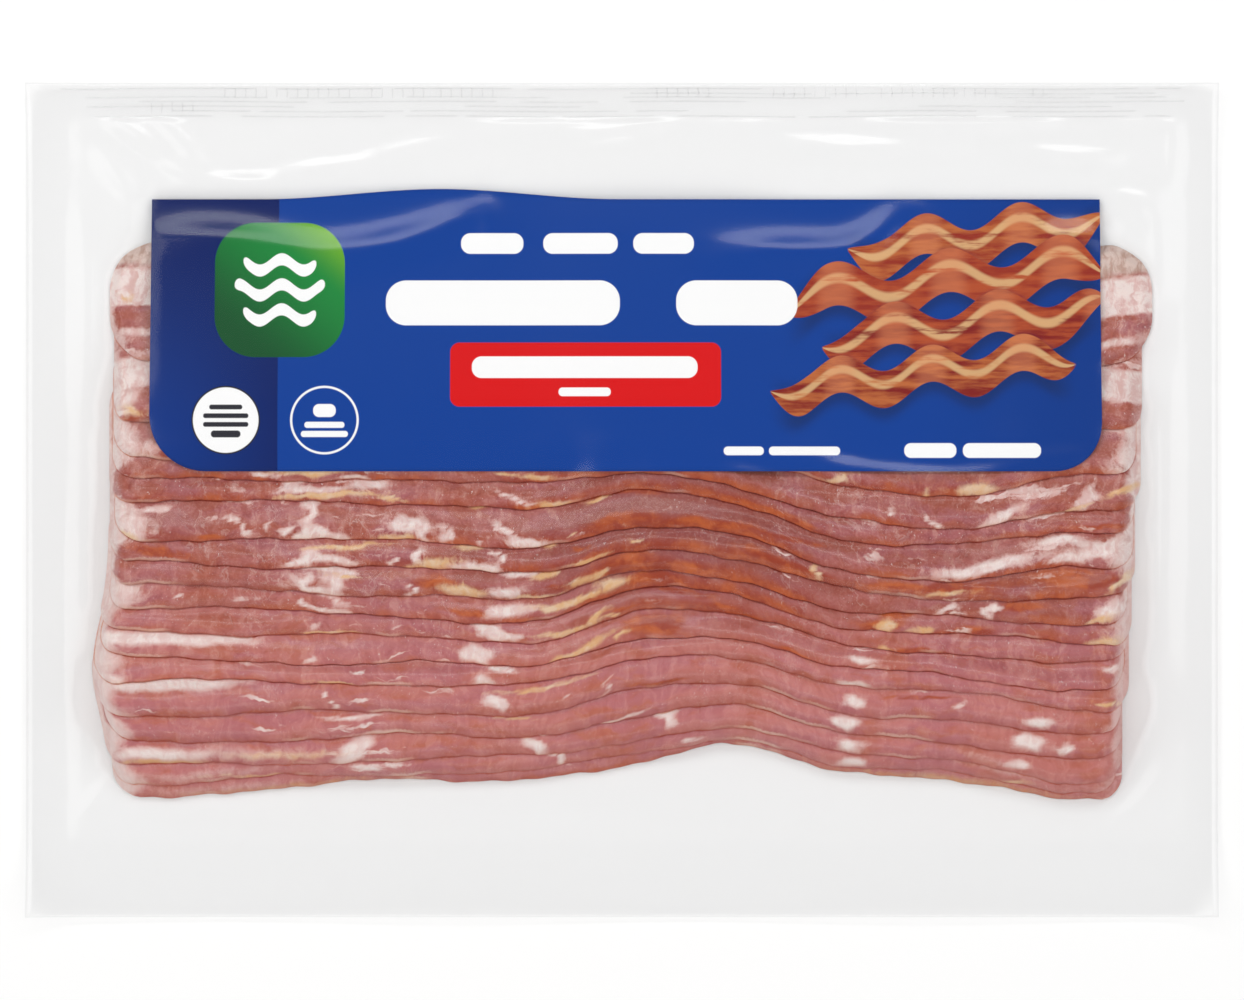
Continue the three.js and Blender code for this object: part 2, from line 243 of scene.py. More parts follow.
class Shaping(NodeGraph):
    # A geometry tree with named inputs, used once on a piece and then made plain mesh
    def __init__(self, name, inputs):
        super().__init__(bpy.data.node_groups.new(name, "GeometryNodeTree"))
        face = self.tree.interface
        face.new_socket("Geometry", in_out="INPUT", socket_type="NodeSocketGeometry")
        self.values = inputs
        for label, value in inputs.items():
            kind = "NodeSocketMaterial" if isinstance(value, bpy.types.Material) else "NodeSocketFloat"
            face.new_socket(label, in_out="INPUT", socket_type=kind)
        face.new_socket("Geometry", in_out="OUTPUT", socket_type="NodeSocketGeometry")
        entry = self.tree.nodes.new("NodeGroupInput")
        self.inputs = {socket.name: Signal(self, socket) for socket in entry.outputs if socket.name}

    def close(self, geometry):
        whole = self.node("GeometryNodeRealizeInstances", places={0: geometry})
        painted = self.node("GeometryNodeSetMaterial", None, {0: whole, 2: self.inputs["Material"]})
        self.tree.links.new(painted.socket, self.tree.nodes.new("NodeGroupOutput").inputs[0])

    def apply(self, piece, **changes):
        modifier = piece.modifiers.new(self.tree.name, "NODES")
        modifier.node_group = self.tree
        values = {**self.values, **changes}
        for socket in self.tree.interface.items_tree:
            if socket.in_out == "INPUT" and socket.name in values:
                modifier[socket.identifier] = values[socket.name]
        graph = bpy.context.evaluated_depsgraph_get()
        shaped = piece.evaluated_get(graph)
        mesh = bpy.data.meshes.new_from_object(shaped, preserve_all_data_layers=True, depsgraph=graph)
        piece.modifiers.clear()
        piece.data = mesh
        mesh.name = piece.name


def meshPiece(name, points, faces, material, smooth=True):
    mesh = bpy.data.meshes.new(name)
    mesh.from_pydata((np.asarray(points) * metre).tolist(), [], faces)
    mesh.materials.append(material)
    mesh.polygons.foreach_set("use_smooth", [smooth] * len(mesh.polygons))
    mesh.update()
    piece = bpy.data.objects.new(name, mesh)
    bpy.context.scene.collection.objects.link(piece)
    return piece


def addValues(piece, name, values):
    values = np.asarray(values, dtype=np.float32)
    kind = "FLOAT" if values.ndim == 1 else "FLOAT_VECTOR"
    field = "value" if values.ndim == 1 else "vector"
    layer = piece.data.attributes.new(name, kind, "POINT")
    layer.data.foreach_set(field, values.ravel())


# Heights of the shingled slices

slices = dict(
    count=17,
    thickness=2.6,
    width=29.8,
    widthSway=1.0,
    lastWidth=27.8,
    corner=6.0,
    lastCorner=11.0,
    lip=3.0,
    blunt=0.2,
    lipPower=1.5,
    tailRun=10.0,
    lastTailRun=1.4,
    floorGap=0.12,
    # mean place of each near edge, from the lowest slice to the top one
    edgePlaces=[-64.3, -62.4, -59.1, -53.9, -48.4, -41.7, -37.2, -31.4, -26.7,
                -22.3, -16.9, -11.4, -3.2, 1.6, 7.5, 17, 31.5],
    waveStations=[-103, -75, -47, -19, 4, 27, 50, 76, 101],
    waveSlices=[0, 8, 13, 16],
    waves=[[-4.0, -2.2, -0.7, 0.3, 3.1, 7.5, 1.7, -0.3, -5.4],
           [2.3, 0.8, -0.1, -1.0, 6.3, 4.4, -2.1, -4.0, -6.5],
           [3.0, 3.2, 3.2, 2.1, 4.7, 1.7, -5.9, -8.4, -3.5],
           [0.5, 0.8, 1.0, 1.2, 1.5, 0.6, -0.8, -1.2, 0.3]],
    wobble=0.5,
    raggedness=0.2,
    leftEnd=-118.0,
    # the pile bulges out at the left end
    leftBulge=4.0,
    leftBulgePlace=-38.0,
    leftBulgeReach=15.0,
    leftBulgeRun=(-82.0, 34.0),
    rightEnd=115.0,
    rightSpread=0.065,
    endSway=0.9,
    # left and right end of the two top slices
    topEnds={15: (-117.6, 120.4), 16: (-118.6, 122.8)},
)


def smooth(t):
    s = np.clip(t, 0, 1)
    return s * s * (3 - 2 * s)


def mix(a, b, t):
    return a + (b - a) * t


def curveThrough(stations, values, x):
    # Catmull-Rom curve, level beyond both ends
    s = np.asarray(stations, float)
    v = np.asarray(values, float)
    last = len(s) - 1
    before = np.maximum(np.arange(last + 1) - 1, 0)
    after = np.minimum(np.arange(last + 1) + 1, last)
    slope = (v[after] - v[before]) / (s[after] - s[before])
    x = np.clip(x, s[0], s[-1])
    i = np.clip(np.searchsorted(s, x, side="right") - 1, 0, last - 1)
    run = s[i + 1] - s[i]
    t = (x - s[i]) / run
    rest = 1 - t
    startPart = rest * rest * ((1 + 2 * t) * v[i] + t * run * slope[i])
    return startPart + t * t * ((3 - 2 * t) * v[i + 1] - rest * run * slope[i + 1])


class Rasher:
    # One slice: where it lies and how thick it is at each point
    def __init__(self, index):
        top = index == slices["count"] - 1
        place = slices["edgePlaces"][index]
        self.index = index
        self.place = place
        right = slices["rightEnd"] + slices["rightSpread"] * (place - slices["edgePlaces"][0])
        sway = slices["endSway"]
        ends = (slices["leftEnd"] + sway * self.sway(0.4), right + sway * self.sway(2.1))
        self.left, self.right = slices["topEnds"].get(index, ends)
        width = slices["width"] + slices["widthSway"] * self.sway(1.2)
        self.width = slices["lastWidth"] if top else width
        self.corner = slices["lastCorner"] if top else slices["corner"]
        self.tail = slices["lastTailRun"] if top else slices["tailRun"]

    def sway(self, phase):
        return math.sin(2.4 * self.index + phase)

    def wave(self, x):
        starts = slices["waveSlices"]
        later = max(next(i for i, slice in enumerate(starts) if slice >= self.index), 1)
        share = (self.index - starts[later - 1]) / (starts[later] - starts[later - 1])
        stations = slices["waveStations"]
        before = curveThrough(stations, slices["waves"][later - 1], x)
        return mix(before, curveThrough(stations, slices["waves"][later], x), share)

    def edge(self, x):
        k = self.index
        ragged = np.sin(x / 1.3 + 2.1 * k) * np.sin(x / 5.3 + 0.7 * k) + 0.7 * np.sin(x / 2.7 - k)
        slow = np.sin(x / 13 + 1.7 * k) + 0.8 * np.sin(x / 7.3 + 2.9 * k) * np.sin(x / 31 + k)
        return self.place + self.wave(x) + slices["wobble"] * slow + slices["raggedness"] * ragged

    def inside(self, x, across):
        # distance in from the outline, whose corners are round
        fromEnd = np.minimum(x - self.left, self.right - x)
        fromSide = np.minimum(across, self.width - across)
        cutX = self.corner - fromEnd
        cutY = self.corner - fromSide
        round_ = self.corner - np.hypot(cutX, cutY)
        return np.where((cutX > 0) & (cutY > 0), round_, np.minimum(fromEnd, fromSide))

    def share(self, x, across):
        inside = self.inside(x, across)
        d = np.clip(inside / slices["lip"], 0, 1)
        nose = slices["blunt"] + (1 - slices["blunt"]) * (1 - (1 - d) ** slices["lipPower"])
        return np.where(inside < -1e-6, 0, nose) * smooth((self.width - across) / self.tail)


rashers = [Rasher(index) for index in range(slices["count"])]


def bulged(x, y):
    # how far the pile is pushed out to the left at a point
    away = (y - slices["leftBulgePlace"]) / slices["leftBulgeReach"]
    start, run = slices["leftBulgeRun"]
    return slices["leftBulge"] * np.exp(-(away**2)) * smooth((start - x) / run)


def stackHeight(x, y, count=slices["count"]):
    # top of the lowest slices, up to a count of them, in a pile without its bulge
    height = np.full(np.shape(x), slices["floorGap"])
    for rasher in rashers[:count]:
        height = height + slices["thickness"] * rasher.share(x, y - rasher.edge(x))
    return height


def contentsHeight(x, y):
    # top of the whole pile, with its bulge
    return stackHeight(x + bulged(x, y), y)


# Marbling of the slices, worked out at each point of their meshes

marbling = dict(
    # spots of each slice: x, distance in from its near edge, half length, half width, tilt and,
    # where it is less than full, strength
    fatSpots={
        0: [(-92, 1.2, 24, 1.4, 0, 0.32)],
        1: [(-96, 1.6, 20, 1.8, 0, 0.34), (-59.3, 2.1, 4.7, 0.8, -0.05, 0.9),
            (-14.8, 2.2, 4.3, 0.9, -0.84, 0.9), (15.4, 1.7, 2.4, 0.6, -0.16, 0.7),
            (53.4, 1.2, 3.5, 1.1, 0.11, 0.9), (88, 3, 15, 1.8, 0, 0.36)],
        2: [(-84, 2.6, 22, 2.6, 0, 0.34), (-108.2, 2.2, 12, 1.5, -0.07, 0.9),
            (-61.5, 2.7, 5.1, 2.2, 0.75, 0.95), (-19.9, 2, 4.3, 1.3, -0.56),
            (10.8, 4, 2.3, 1.1, -1.17, 0.9), (10.9, 4.1, 2.1, 2.2, -0.12, 0.8),
            (52.3, 1.7, 3.5, 1.5, 0.23), (91.5, 2.1, 2.4, 1.1, 0.24, 0.8), (82, 1.6, 12, 1.5, 0, 0.24)],
        3: [(-61.9, 4.4, 7.7, 0.5, -0.06, 0.9), (-52.5, 0.1, 19.7, 0.7, -0.03, 0.45),
            (-2.8, 0.1, 12, 0.4, 0.12, 0.8), (51.5, 2.3, 2.6, 1.8, 0.13), (93.7, 2.7, 3.8, 2, 0.03),
            (102, 2, 1.7, 1.7, 1.17)],
        4: [(-102.2, 7.3, 16.3, 1.6, 0.02), (-67.3, 2, 3.6, 0.4, -1.19, 0.8),
            (-28.9, 3.1, 3.6, 1.4, -0.56), (-12.2, 3.7, 2.6, 0.5, 0.94, 0.7),
            (-3.2, 2.3, 2.6, 0.5, 1.01, 0.7), (53.4, 3.6, 2.3, 1.5, 0.18),
            (77.1, 3.1, 2.1, 0.9, 1.12, 0.8), (96.4, 1.9, 3.4, 1.3, 0.02)],
        5: [(-115.9, 0.6, 5.1, 2.6, 0.04), (-31.9, 0.8, 2.6, 1.3, -0.03), (-28.1, 3.5, 3.9, 0.8, -0.17),
            (53, 0.1, 3.9, 1, -0.07)],
        6: [(-116.8, 3.9, 6.4, 2.2, -0.01), (-104.8, 4.3, 7.7, 1.5, 0.04),
            (-92.8, 4.5, 9.4, 1.3, 0.06, 0.8), (-71.8, 1.3, 1.7, 0.8, 0.55, 0.9),
            (-33.6, 1.9, 3.9, 2.4, -0.23), (54.5, 1.7, 3.9, 1, -0.03, 0.9),
            (113.3, 4.6, 2.4, 1, -0.04, 0.9)],
        7: [(-70.7, 1.7, 1.9, 0.7, 0.28, 0.9), (-31.3, 3.3, 4.3, 1.3, -0.42),
            (-30.2, 2.1, 4.3, 1.5, -0.54), (-26.6, 1.5, 3.9, 0.6, -0.02)],
        8: [(-66.5, 3.2, 3.4, 1.2, -0.5, 0.7), (-101.4, 3.4, 1.7, 0.4, 1, 0.8),
            (-86.8, 2.1, 3, 0.6, -0.03, 0.6), (-72.6, 1.8, 1.9, 0.6, -0.57, 0.9),
            (-65.8, 0.3, 8.1, 0.5, -0.14), (-26.2, 2.6, 5.6, 1.5, 0)],
        9: [(-66, 2.5, 3.2, 2.2, 0.9, 0.8), (-73.1, 2.9, 2.6, 1, 1.24), (-69.2, 0.5, 6.4, 0.6, -0.11),
            (-67.5, 5.9, 7.3, 0.9, -0.08), (-48.5, 1.7, 1.9, 0.5, 1.32, 0.8),
            (-26.2, 1.2, 4.7, 1.3, -0.06), (-23.2, 5.7, 3.9, 0.9, -0.06), (73.4, 0.1, 4.7, 0.9, 0.53),
            (84.7, 2.4, 3.2, 0.9, 1.02, 0.9), (112.6, 3.5, 4.7, 2, 0.48), (-75, 3, 7, 1.6, 0, 0.36)],
        10: [(-66, 1.6, 6.5, 0.9, -0.1, 0.85), (-75.6, 1.1, 2.1, 0.5, 0.18),
             (-72.2, 2.1, 2.6, 1.7, 1.11), (-53, 1.1, 1.7, 0.4, 1.53, 0.8),
             (-46.8, 2.8, 2.1, 1.5, 1.38, 0.9), (-35.6, 0.2, 3.9, 1.8, 0.04),
             (-30.9, 0.1, 3.4, 1.5, 0.19), (-28.8, 3.6, 2.6, 0.7, -0.61, 0.9)],
        11: [(-106.9, 7.5, 5.1, 0.7, -0.01, 0.8), (-89.1, 4.4, 2.6, 0.6, -0.89, 0.9),
             (-86.8, 2, 2.1, 0.6, -1.21, 0.8), (-82.1, 2.2, 2.1, 0.5, 1.01, 0.9),
             (-77.4, 1.7, 1.8, 0.8, 1, 0.9), (-73.9, 0.1, 3.4, 0.6, 0.17), (-71.8, 5.3, 4.7, 1.5, 1.33),
             (-67.9, 0.7, 6.4, 1.5, -0.32), (-49.8, 3.7, 3.9, 2.1, -0.04),
             (-45.5, 1.5, 2.6, 1.3, 1.58, 0.9), (-40.3, 1.8, 2.1, 1.9, 1.15),
             (-32.6, 1.5, 1.7, 0.4, 1.64, 0.7), (-27, 4, 4.1, 0.9, -0.57), (-21.9, 1.1, 4.9, 1, -0.16),
             (83.9, 2.3, 12.4, 1.4, 0.08), (101.3, 1.6, 3.4, 0.9, 0.03),
             (101.3, 5.9, 6.8, 1.1, -0.05, 0.9), (111.1, 4.6, 7.2, 1.8, 0.32)],
        12: [(-88.5, 2.2, 2.1, 1, 0.01, 0.5), (-75.6, 4, 3, 1.5, 0.42),
             (-70.5, 2.6, 7.3, 0.7, 0.08, 0.9), (-57.6, 4.6, 3.9, 1.3, 0.13, 0.9),
             (-24.5, 2.3, 3.9, 0.6, -0.31)],
        13: [(-82.9, 1.5, 2.6, 0.6, 0), (-61.5, 0.3, 4.3, 0.5, 0, 0.8),
             (60.9, 2.6, 3.2, 0.5, 1.69, 0.8), (71.1, 1.3, 2.6, 0.9, -0.61, 0.8),
             (87.7, 1.4, 4.9, 1.2, 0.33), (107.3, 3.3, 3.8, 1.7, 0.92, 0.8)],
        15: [(-116.5, 6, 5, 4, 0, 0.8)],
    },
    creamSpots={
        0: [(76, 0.3, 38, 1.4, 0, 0.5), (-76, 0.3, 36, 1, 0, 0.45)],
        1: [(-85.1, 0.3, 17.1, 0.5, -0.09, 0.6), (90, 0.2, 4.7, 0.7, 0.11, 0.9)],
        2: [(-105.6, 0.3, 13.7, 0.7, -0.04, 0.7), (-78.2, 2.1, 18.9, 1.2, 0.01, 0.55)],
        3: [(-26.8, 4.6, 7.7, 0.4, -0.07, 0.9)],
        4: [(-18.2, 5.7, 14.6, 0.5, 0.04, 0.9)],
        5: [(-66.2, 0.1, 5.1, 0.5, -0.07, 0.9), (112.6, 1.7, 3.9, 0.5, -0.13, 0.9)],
        6: [(-12.2, 0.1, 11.1, 1, 0.27), (0.2, 1.7, 1.5, 0.6, 0.99, 0.9)],
        7: [(-67.1, 0.2, 8.6, 0.3, -0.04, 0.9), (-13.3, 0.9, 6.4, 0.6, -0.09),
            (-5.8, 1.5, 2.8, 1, 0.47), (-1.8, 0.7, 2.6, 0.4, -0.02), (59.8, 0.1, 2.4, 0.9, 0.11)],
        8: [(-15.5, 2.3, 6.4, 0.9, -0.11), (-8.6, 1.5, 3.9, 0.7, -0.06), (-2.6, 3.1, 3.9, 1.4, -0.04),
            (60.6, 0.7, 3, 1.4, 1.39), (68.9, 0.6, 3.2, 0.8, 0.12), (111.1, 0.1, 4.7, 1.5, 0.3)],
        9: [(-65.4, 4.6, 6, 0.3, -0.01), (-36.9, 1.1, 5.1, 1.4, -0.05), (-19.3, 0.1, 5.1, 0.6, -0.01),
            (-17.6, 5.3, 3.4, 0.9, 0.1), (-9.9, 0.9, 2.8, 0.9, -0.12), (-5.2, 1.2, 1.9, 0.9, 0.13),
            (109.5, 0.9, 4.5, 0.8, 0.4, 0.9)],
        10: [(-63.6, 4.5, 9.9, 0.6, 0.04), (-43.8, 0.8, 5.6, 1.4, 0.14), (-35.2, 5.2, 3, 0.6, 0.12),
             (-16.3, 6.1, 2.6, 0.8, -0.03), (-7.8, 0.5, 4.3, 0.5, 0.05),
             (3.8, 2.1, 2.6, 0.3, -0.49, 0.7), (44.7, 1.8, 2.3, 0.7, 1.24, 0.8),
             (75.6, 1.6, 5.3, 0.5, 0.12, 0.9), (115.6, 3, 4.5, 0.7, 0.57, 0.9)],
        11: [(-114.6, 0.1, 2.4, 1.9, -0.29, 0.9), (-52.3, 0.1, 4.3, 1.2, 0.08), (-33, 9.1, 3, 0.4, 0.1),
             (-11.2, 1.3, 2.6, 0.3, 0.5, 0.8), (-5.2, 8.2, 2.6, 0.5, 0.12)],
        12: [(-68.8, 1.4, 12, 0.7, 0.1), (-53.6, 1.5, 3.9, 0.6, -0.22), (-15.5, 0.1, 4.7, 0.9, -0.08)],
        13: [(-70.9, 2.2, 9.9, 0.9, 0.02), (-27.5, 1.9, 2.6, 0.3, 0.01, 0.8),
             (-19.8, 0.9, 5.1, 0.6, -0.08), (102, 0.1, 8.3, 0.4, 0.24, 0.8),
             (115.6, 4.5, 4.5, 0.8, 0.3, 0.9)],
        14: [(49.3, 1, 3.8, 1.1, 0.41), (69.6, 0.3, 2.3, 0.9, 0.95, 0.8), (81.7, 1.1, 5.3, 1.4, -0.06)],
        15: [(-113.6, 2.8, 2.8, 1.3, -0.4, 0.95)],
        16: [(-114.4, 14.6, 1.7, 1.1, 0.1)],
    },
    smokeSpots={
        0: [(-78, 0.3, 32, 0.9, 0, 0.42), (-8, 0.3, 42, 0.9, 0, 0.5), (76, 0.3, 36, 1.5, 0, 0.48)],
        4: [(8.6, 0.8, 8.3, 0.6, 0.04, 0.9), (68.1, 4.9, 11.3, 0.5, 0.03, 0.9)],
        6: [(5.1, 3.8, 6.4, 2.1, 0.05), (10.8, 2.4, 4.5, 3, -0.04), (38, 0.3, 5.3, 0.6, -0.1, 0.8)],
        7: [(-0.5, 1.7, 3.9, 0.5, -0.16, 0.9), (13.9, 4.1, 11.3, 0.8, -0.09, 0.9),
            (26.7, 0.1, 11.3, 1.5, -0.15), (68.1, 0.2, 7.2, 0.9, -0.04)],
        8: [(-34.8, 2.4, 5.1, 1.3, -0.01), (-19.8, 0.2, 5.6, 0.4, -0.02), (5.9, 2.5, 8.1, 1.7, -0.02),
            (58.3, 0.8, 6, 1.5, 0.07, 0.9), (62.8, 4.1, 4.9, 1.7, 0.01, 0.9), (78.7, 0.4, 9, 1.1, 0.1)],
        9: [(-43.3, 2.9, 4.7, 2, -0.07), (-15.5, 2, 3.9, 0.9, -0.12, 0.9), (-0.1, 2.8, 9, 2.1, 0.04),
            (11.6, 0.5, 10.5, 1.8, 0.13), (91.5, 3.6, 6.8, 1.4, 0.07, 0.9)],
        10: [(-106.5, 2, 7.7, 1.5, -0.18), (-84.6, 0.1, 5.1, 1.3, 0.14, 0.4),
             (-9.5, 3.7, 3, 0.8, -0.09, 0.8), (38, 1.7, 12.8, 1.7, -0.12), (71.9, 2.4, 19.6, 1.5, 0.07),
             (105.8, 3.9, 12.8, 2.7, -0.15)],
        11: [(-94.5, 1, 5.1, 0.7, -0.08, 0.9), (-0.1, 2.6, 10.3, 1.5, 0.04),
             (0.8, 8.7, 11.1, 0.9, -0.04), (19.1, 1.5, 14.3, 1.1, 0.07),
             (40.2, 3.5, 8.3, 0.7, 0.17, 0.9)],
        12: [(-21.5, 0.1, 3.9, 0.7, -0.11), (34.2, 0.5, 15.8, 1.2, -0.01),
             (111.1, 1.5, 7.5, 0.7, 0.04)],
        14: [(79.4, 2.1, 31.6, 2.3, -0.07, 0.45)],
    },
    fullStrength=0.97,
    # fat at the left and right end: reach, sway, strength on the lowest slice, on those from
    # fullFatSlice up and on those with rind
    endFat=[(2.8, 1.8, 0.62, 0.62, 0.5), (2.2, 1.0, 0.25, 0.65, 0.2)],
    leastEndFat=0.8,
    fullFatSlice=12,
    # x, reach, slice, spread in slices and strength
    toasted=[(16, 36, 9.6, 3.8, 1.08), (82, 26, 9.5, 2.2, 0.55), (40, 90, 14.0, 1.2, 0.3),
             (-104, 12, 11.0, 1.0, 0.5), (-33, 10, 9.5, 1.2, 0.6)],
    firstRindSlice=15,
    rindBand=7.2,
    rindSoftness=1.6,
    # slice, start and end of each band of fat in from the far edge, and strength
    fatBands=[(16, 7.2, 15.6, 0.95), (16, 21.0, 22.8, 0.6), (16, 25.8, 28.5, 0.35),
              (15, 14.5, 21.8, 0.9)],
    bandSoftness=1.8,
    bandSway=(0.6, 0.8),
    warp=0.7,
)


def spotField(rasher, spots, x, across):
    # soft spots that run together
    rest = np.ones(len(x))
    for spotX, spotAcross, halfLength, halfWidth, tilt, *less in spots.get(rasher.index, []):
        along = (x - spotX) * math.cos(tilt) + (across - spotAcross) * math.sin(tilt)
        aside = (across - spotAcross) * math.cos(tilt) - (x - spotX) * math.sin(tilt)
        spot = np.exp(-((along / halfLength) ** 2) - (aside / halfWidth) ** 2)
        rest *= 1 - (less[0] if less else marbling["fullStrength"]) * spot
    return 1 - rest


def toastedShare(rasher, x):
    # broad smoky patches that run over several slices
    share = np.zeros(len(x))
    for middle, reach, slice, spread, strength in marbling["toasted"]:
        away = ((x - middle) / reach) ** 2 + ((rasher.index - slice) / spread) ** 2
        share = np.maximum(share, strength * np.exp(-away))
    return share


def marble(rasher, x, across):
    k = rasher.index
    warp = marbling["warp"]
    bentX = x + warp * (np.sin(across * 1.7 + x * 0.4 + k) + np.sin(across * 0.9 - x * 0.9 + 2 * k))
    bentAcross = across + 0.3 * warp * (np.sin(x * 0.43 + k) + 0.5 * np.sin(x * 1.3 + 3 * k))
    fat = spotField(rasher, marbling["fatSpots"], bentX, bentAcross)
    cream = spotField(rasher, marbling["creamSpots"], bentX, bentAcross)
    smoke = spotField(rasher, marbling["smokeSpots"], bentX, bentAcross)
    withRind = k >= marbling["firstRindSlice"]
    fromEnds = (x - rasher.left, rasher.right - x)
    for fromEnd, (reach, sway, low, high, onRind) in zip(fromEnds, marbling["endFat"]):
        edge = reach + sway * (np.sin(across * 0.5 + 2.3 * k) + math.sin(1.9 * k))
        edge = np.maximum(edge, marbling["leastEndFat"])
        share = onRind if withRind else mix(low, high, min(k / marbling["fullFatSlice"], 1))
        fat = np.maximum(fat, share * smooth(1.3 - fromEnd / edge / 2))
    quick, slow = marbling["bandSway"]
    fromFar = rasher.width - across + quick * np.sin(x / 3.7 + 2 * k) + slow * np.sin(x / 15 + k)
    soft = marbling["bandSoftness"]
    for slice, start, end, strength in marbling["fatBands"]:
        inBand = smooth((fromFar - start) / soft + 0.5) * smooth((end - fromFar) / soft + 0.5)
        fat = np.maximum(fat, strength * inBand * (slice == k))
    rind = withRind * smooth((marbling["rindBand"] - fromFar) / marbling["rindSoftness"])
    return fat, smoke, cream, rind


# Slices

ribbon = dict(
    endStep=1.6,
    endSteps=5,
    midStep=1.35,
    lipSteps=7,
    visibleReach=15.0,
    visibleStep=0.7,
    hiddenSteps=7,
    underGap=0.04,
    rimThickness=0.05,
    bulgeRounds=6,
    # the cut attribute holds x, across and the slice's own shift, in these units
    cutUnit=10.0,
    cutShift=1.7,
    beyondTop=99.0,
)


def ribbonPlaces(rasher):
    lip = slices["lip"]
    nose = lip * (1 - np.cos(np.linspace(0, math.pi / 2, ribbon["lipSteps"] + 1)))
    ends = nose[-1] + ribbon["endStep"] * np.arange(1, ribbon["endSteps"])
    ends = np.concatenate([nose, ends])
    inner = (rasher.left + ends[-1], rasher.right - ends[-1])
    count = int((inner[1] - inner[0]) / ribbon["midStep"])
    middle = np.linspace(*inner, count)
    columns = np.concatenate([rasher.left + ends[:-1], middle, rasher.right - ends[:-1][::-1]])
    visible = np.arange(nose[-1] + ribbon["visibleStep"], ribbon["visibleReach"], ribbon["visibleStep"])
    hidden = np.linspace(visible[-1], rasher.width - nose[-1], ribbon["hiddenSteps"] + 1)[1:]
    rows = np.concatenate([nose, visible, hidden, rasher.width - nose[:-1][::-1]])
    return columns, rows


def ribbonLayer(rasher, columns, rows):
    # the grid narrows towards each end, where the outline's corners are round
    fromEnd = np.minimum(columns - rasher.left, rasher.right - columns)
    cut = np.clip(rasher.corner - fromEnd, 0, rasher.corner)
    trim = rasher.corner - np.sqrt(rasher.corner**2 - cut**2)
    share = rows / rasher.width
    across = trim[None, :] + (rasher.width - 2 * trim[None, :]) * share[:, None]
    x = np.broadcast_to(columns[None, :], across.shape)
    return x.ravel(), across.ravel()


def gridFaces(rowCount, columnCount):
    row, column = np.mgrid[0:rowCount - 1, 0:columnCount - 1]
    a = (row * columnCount + column).ravel()
    return np.stack([a, a + 1, a + columnCount + 1, a + columnCount], axis=1)


def gridRim(rowCount, columnCount):
    grid = np.arange(rowCount * columnCount).reshape(rowCount, columnCount)
    return np.concatenate([grid[0, :-1], grid[:-1, -1], grid[-1, :0:-1], grid[:0:-1, 0]])


def closedSheet(name, upper, lower, columnCount, material):
    # two equal grids of points, the second one below the first, joined along their rims
    size = len(upper)
    rowCount = size // columnCount
    above = gridFaces(rowCount, columnCount)
    rim = gridRim(rowCount, columnCount)
    nextRim = np.roll(rim, -1)
    sides = np.stack([rim + size, nextRim + size, nextRim, rim], axis=1)
    faces = np.concatenate([above, above[:, ::-1] + size, sides]).tolist()
    return meshPiece(name, np.concatenate([upper, lower]), faces, material)


def makeRasher(rasher, material):
    columns, rows = ribbonPlaces(rasher)
    x, across = ribbonLayer(rasher, columns, rows)
    y = rasher.edge(x) + across
    under = stackHeight(x, y, rasher.index)
    share = rasher.share(x, np.clip(across, 1e-4, rasher.width))
    top = under + slices["thickness"] * share
    # the bulge depends on where a point ends up, so the place is found in rounds
    placed = x
    for _ in range(ribbon["bulgeRounds"]):
        placed = x - bulged(placed, y)
    upper = np.stack([placed, y, top], axis=1)
    lower = np.stack([placed, y, under + ribbon["underGap"]], axis=1)
    rim = gridRim(len(rows), len(columns))
    lower[rim, 2] = np.minimum(lower[rim, 2], top[rim] - ribbon["rimThickness"])
    piece = closedSheet(f"slice_{rasher.index + 1:02d}", upper, lower, len(columns), material)
    x, y, across = np.tile(x, 2), np.tile(y, 2), np.tile(across, 2)
    shift = np.full(len(x), ribbon["cutShift"] * rasher.index)
    addValues(piece, "cut", np.stack([x, across, shift], axis=1) / ribbon["cutUnit"])
    addValues(piece, "across", across)
    for name, values in zip(("fat", "smoke", "cream", "rind"), marble(rasher, x, across)):
        addValues(piece, name, values)
    beforeNext = np.full(len(x), ribbon["beyondTop"])
    for above in rashers[rasher.index + 1:rasher.index + 2]:
        beforeNext = -above.inside(x, y - above.edge(x))
    addValues(piece, "beforeNext", beforeNext)
    addValues(piece, "toasted", toastedShare(rasher, x))
    return piece


meatLook = dict(
    leanPink=(0.612, 0.228, 0.204),
    leanMauve=(0.52, 0.176, 0.186),
    leanBrown=(0.54, 0.155, 0.094),
    leanPale=(0.73, 0.385, 0.335),
    leanToasted=(0.31, 0.064, 0.052),
    fat=(0.875, 0.745, 0.707),
    fatPink=(0.72, 0.46, 0.43),
    linePale=(0.84, 0.64, 0.54),
    cream=(0.8, 0.59, 0.4),
    creamOrange=(0.76, 0.45, 0.21),
    smokeDark=(0.33, 0.04, 0.01),
    smokeBright=(0.56, 0.125, 0.028),
    rindDark=(0.53, 0.345, 0.285),
    # pale flecks, partly painted wet glints
    rindPale=(0.72, 0.56, 0.5),
    frostAndGlint=(0.84, 0.74, 0.72),
    web=(0.74, 0.52, 0.48),
    # tints that darken the colour below them
    mottleTint=(0.76, 0.58, 0.57),
    broadTint=(0.84, 0.7, 0.66),
    fibreTint=(0.86, 0.76, 0.75),
    upperTint=(0.78, 0.71, 0.72),
    fineTint=(0.78, 0.68, 0.66),
    edgeTint=(0.88, 0.72, 0.6),
    noseTint=(0.76, 0.5, 0.38),
    # painted shade, with juice, in the crease below each slice's lip
    creaseJuiceShadeTint=(0.84, 0.36, 0.19),
    roughness=0.36,
    bumpDepth=0.0005,
)


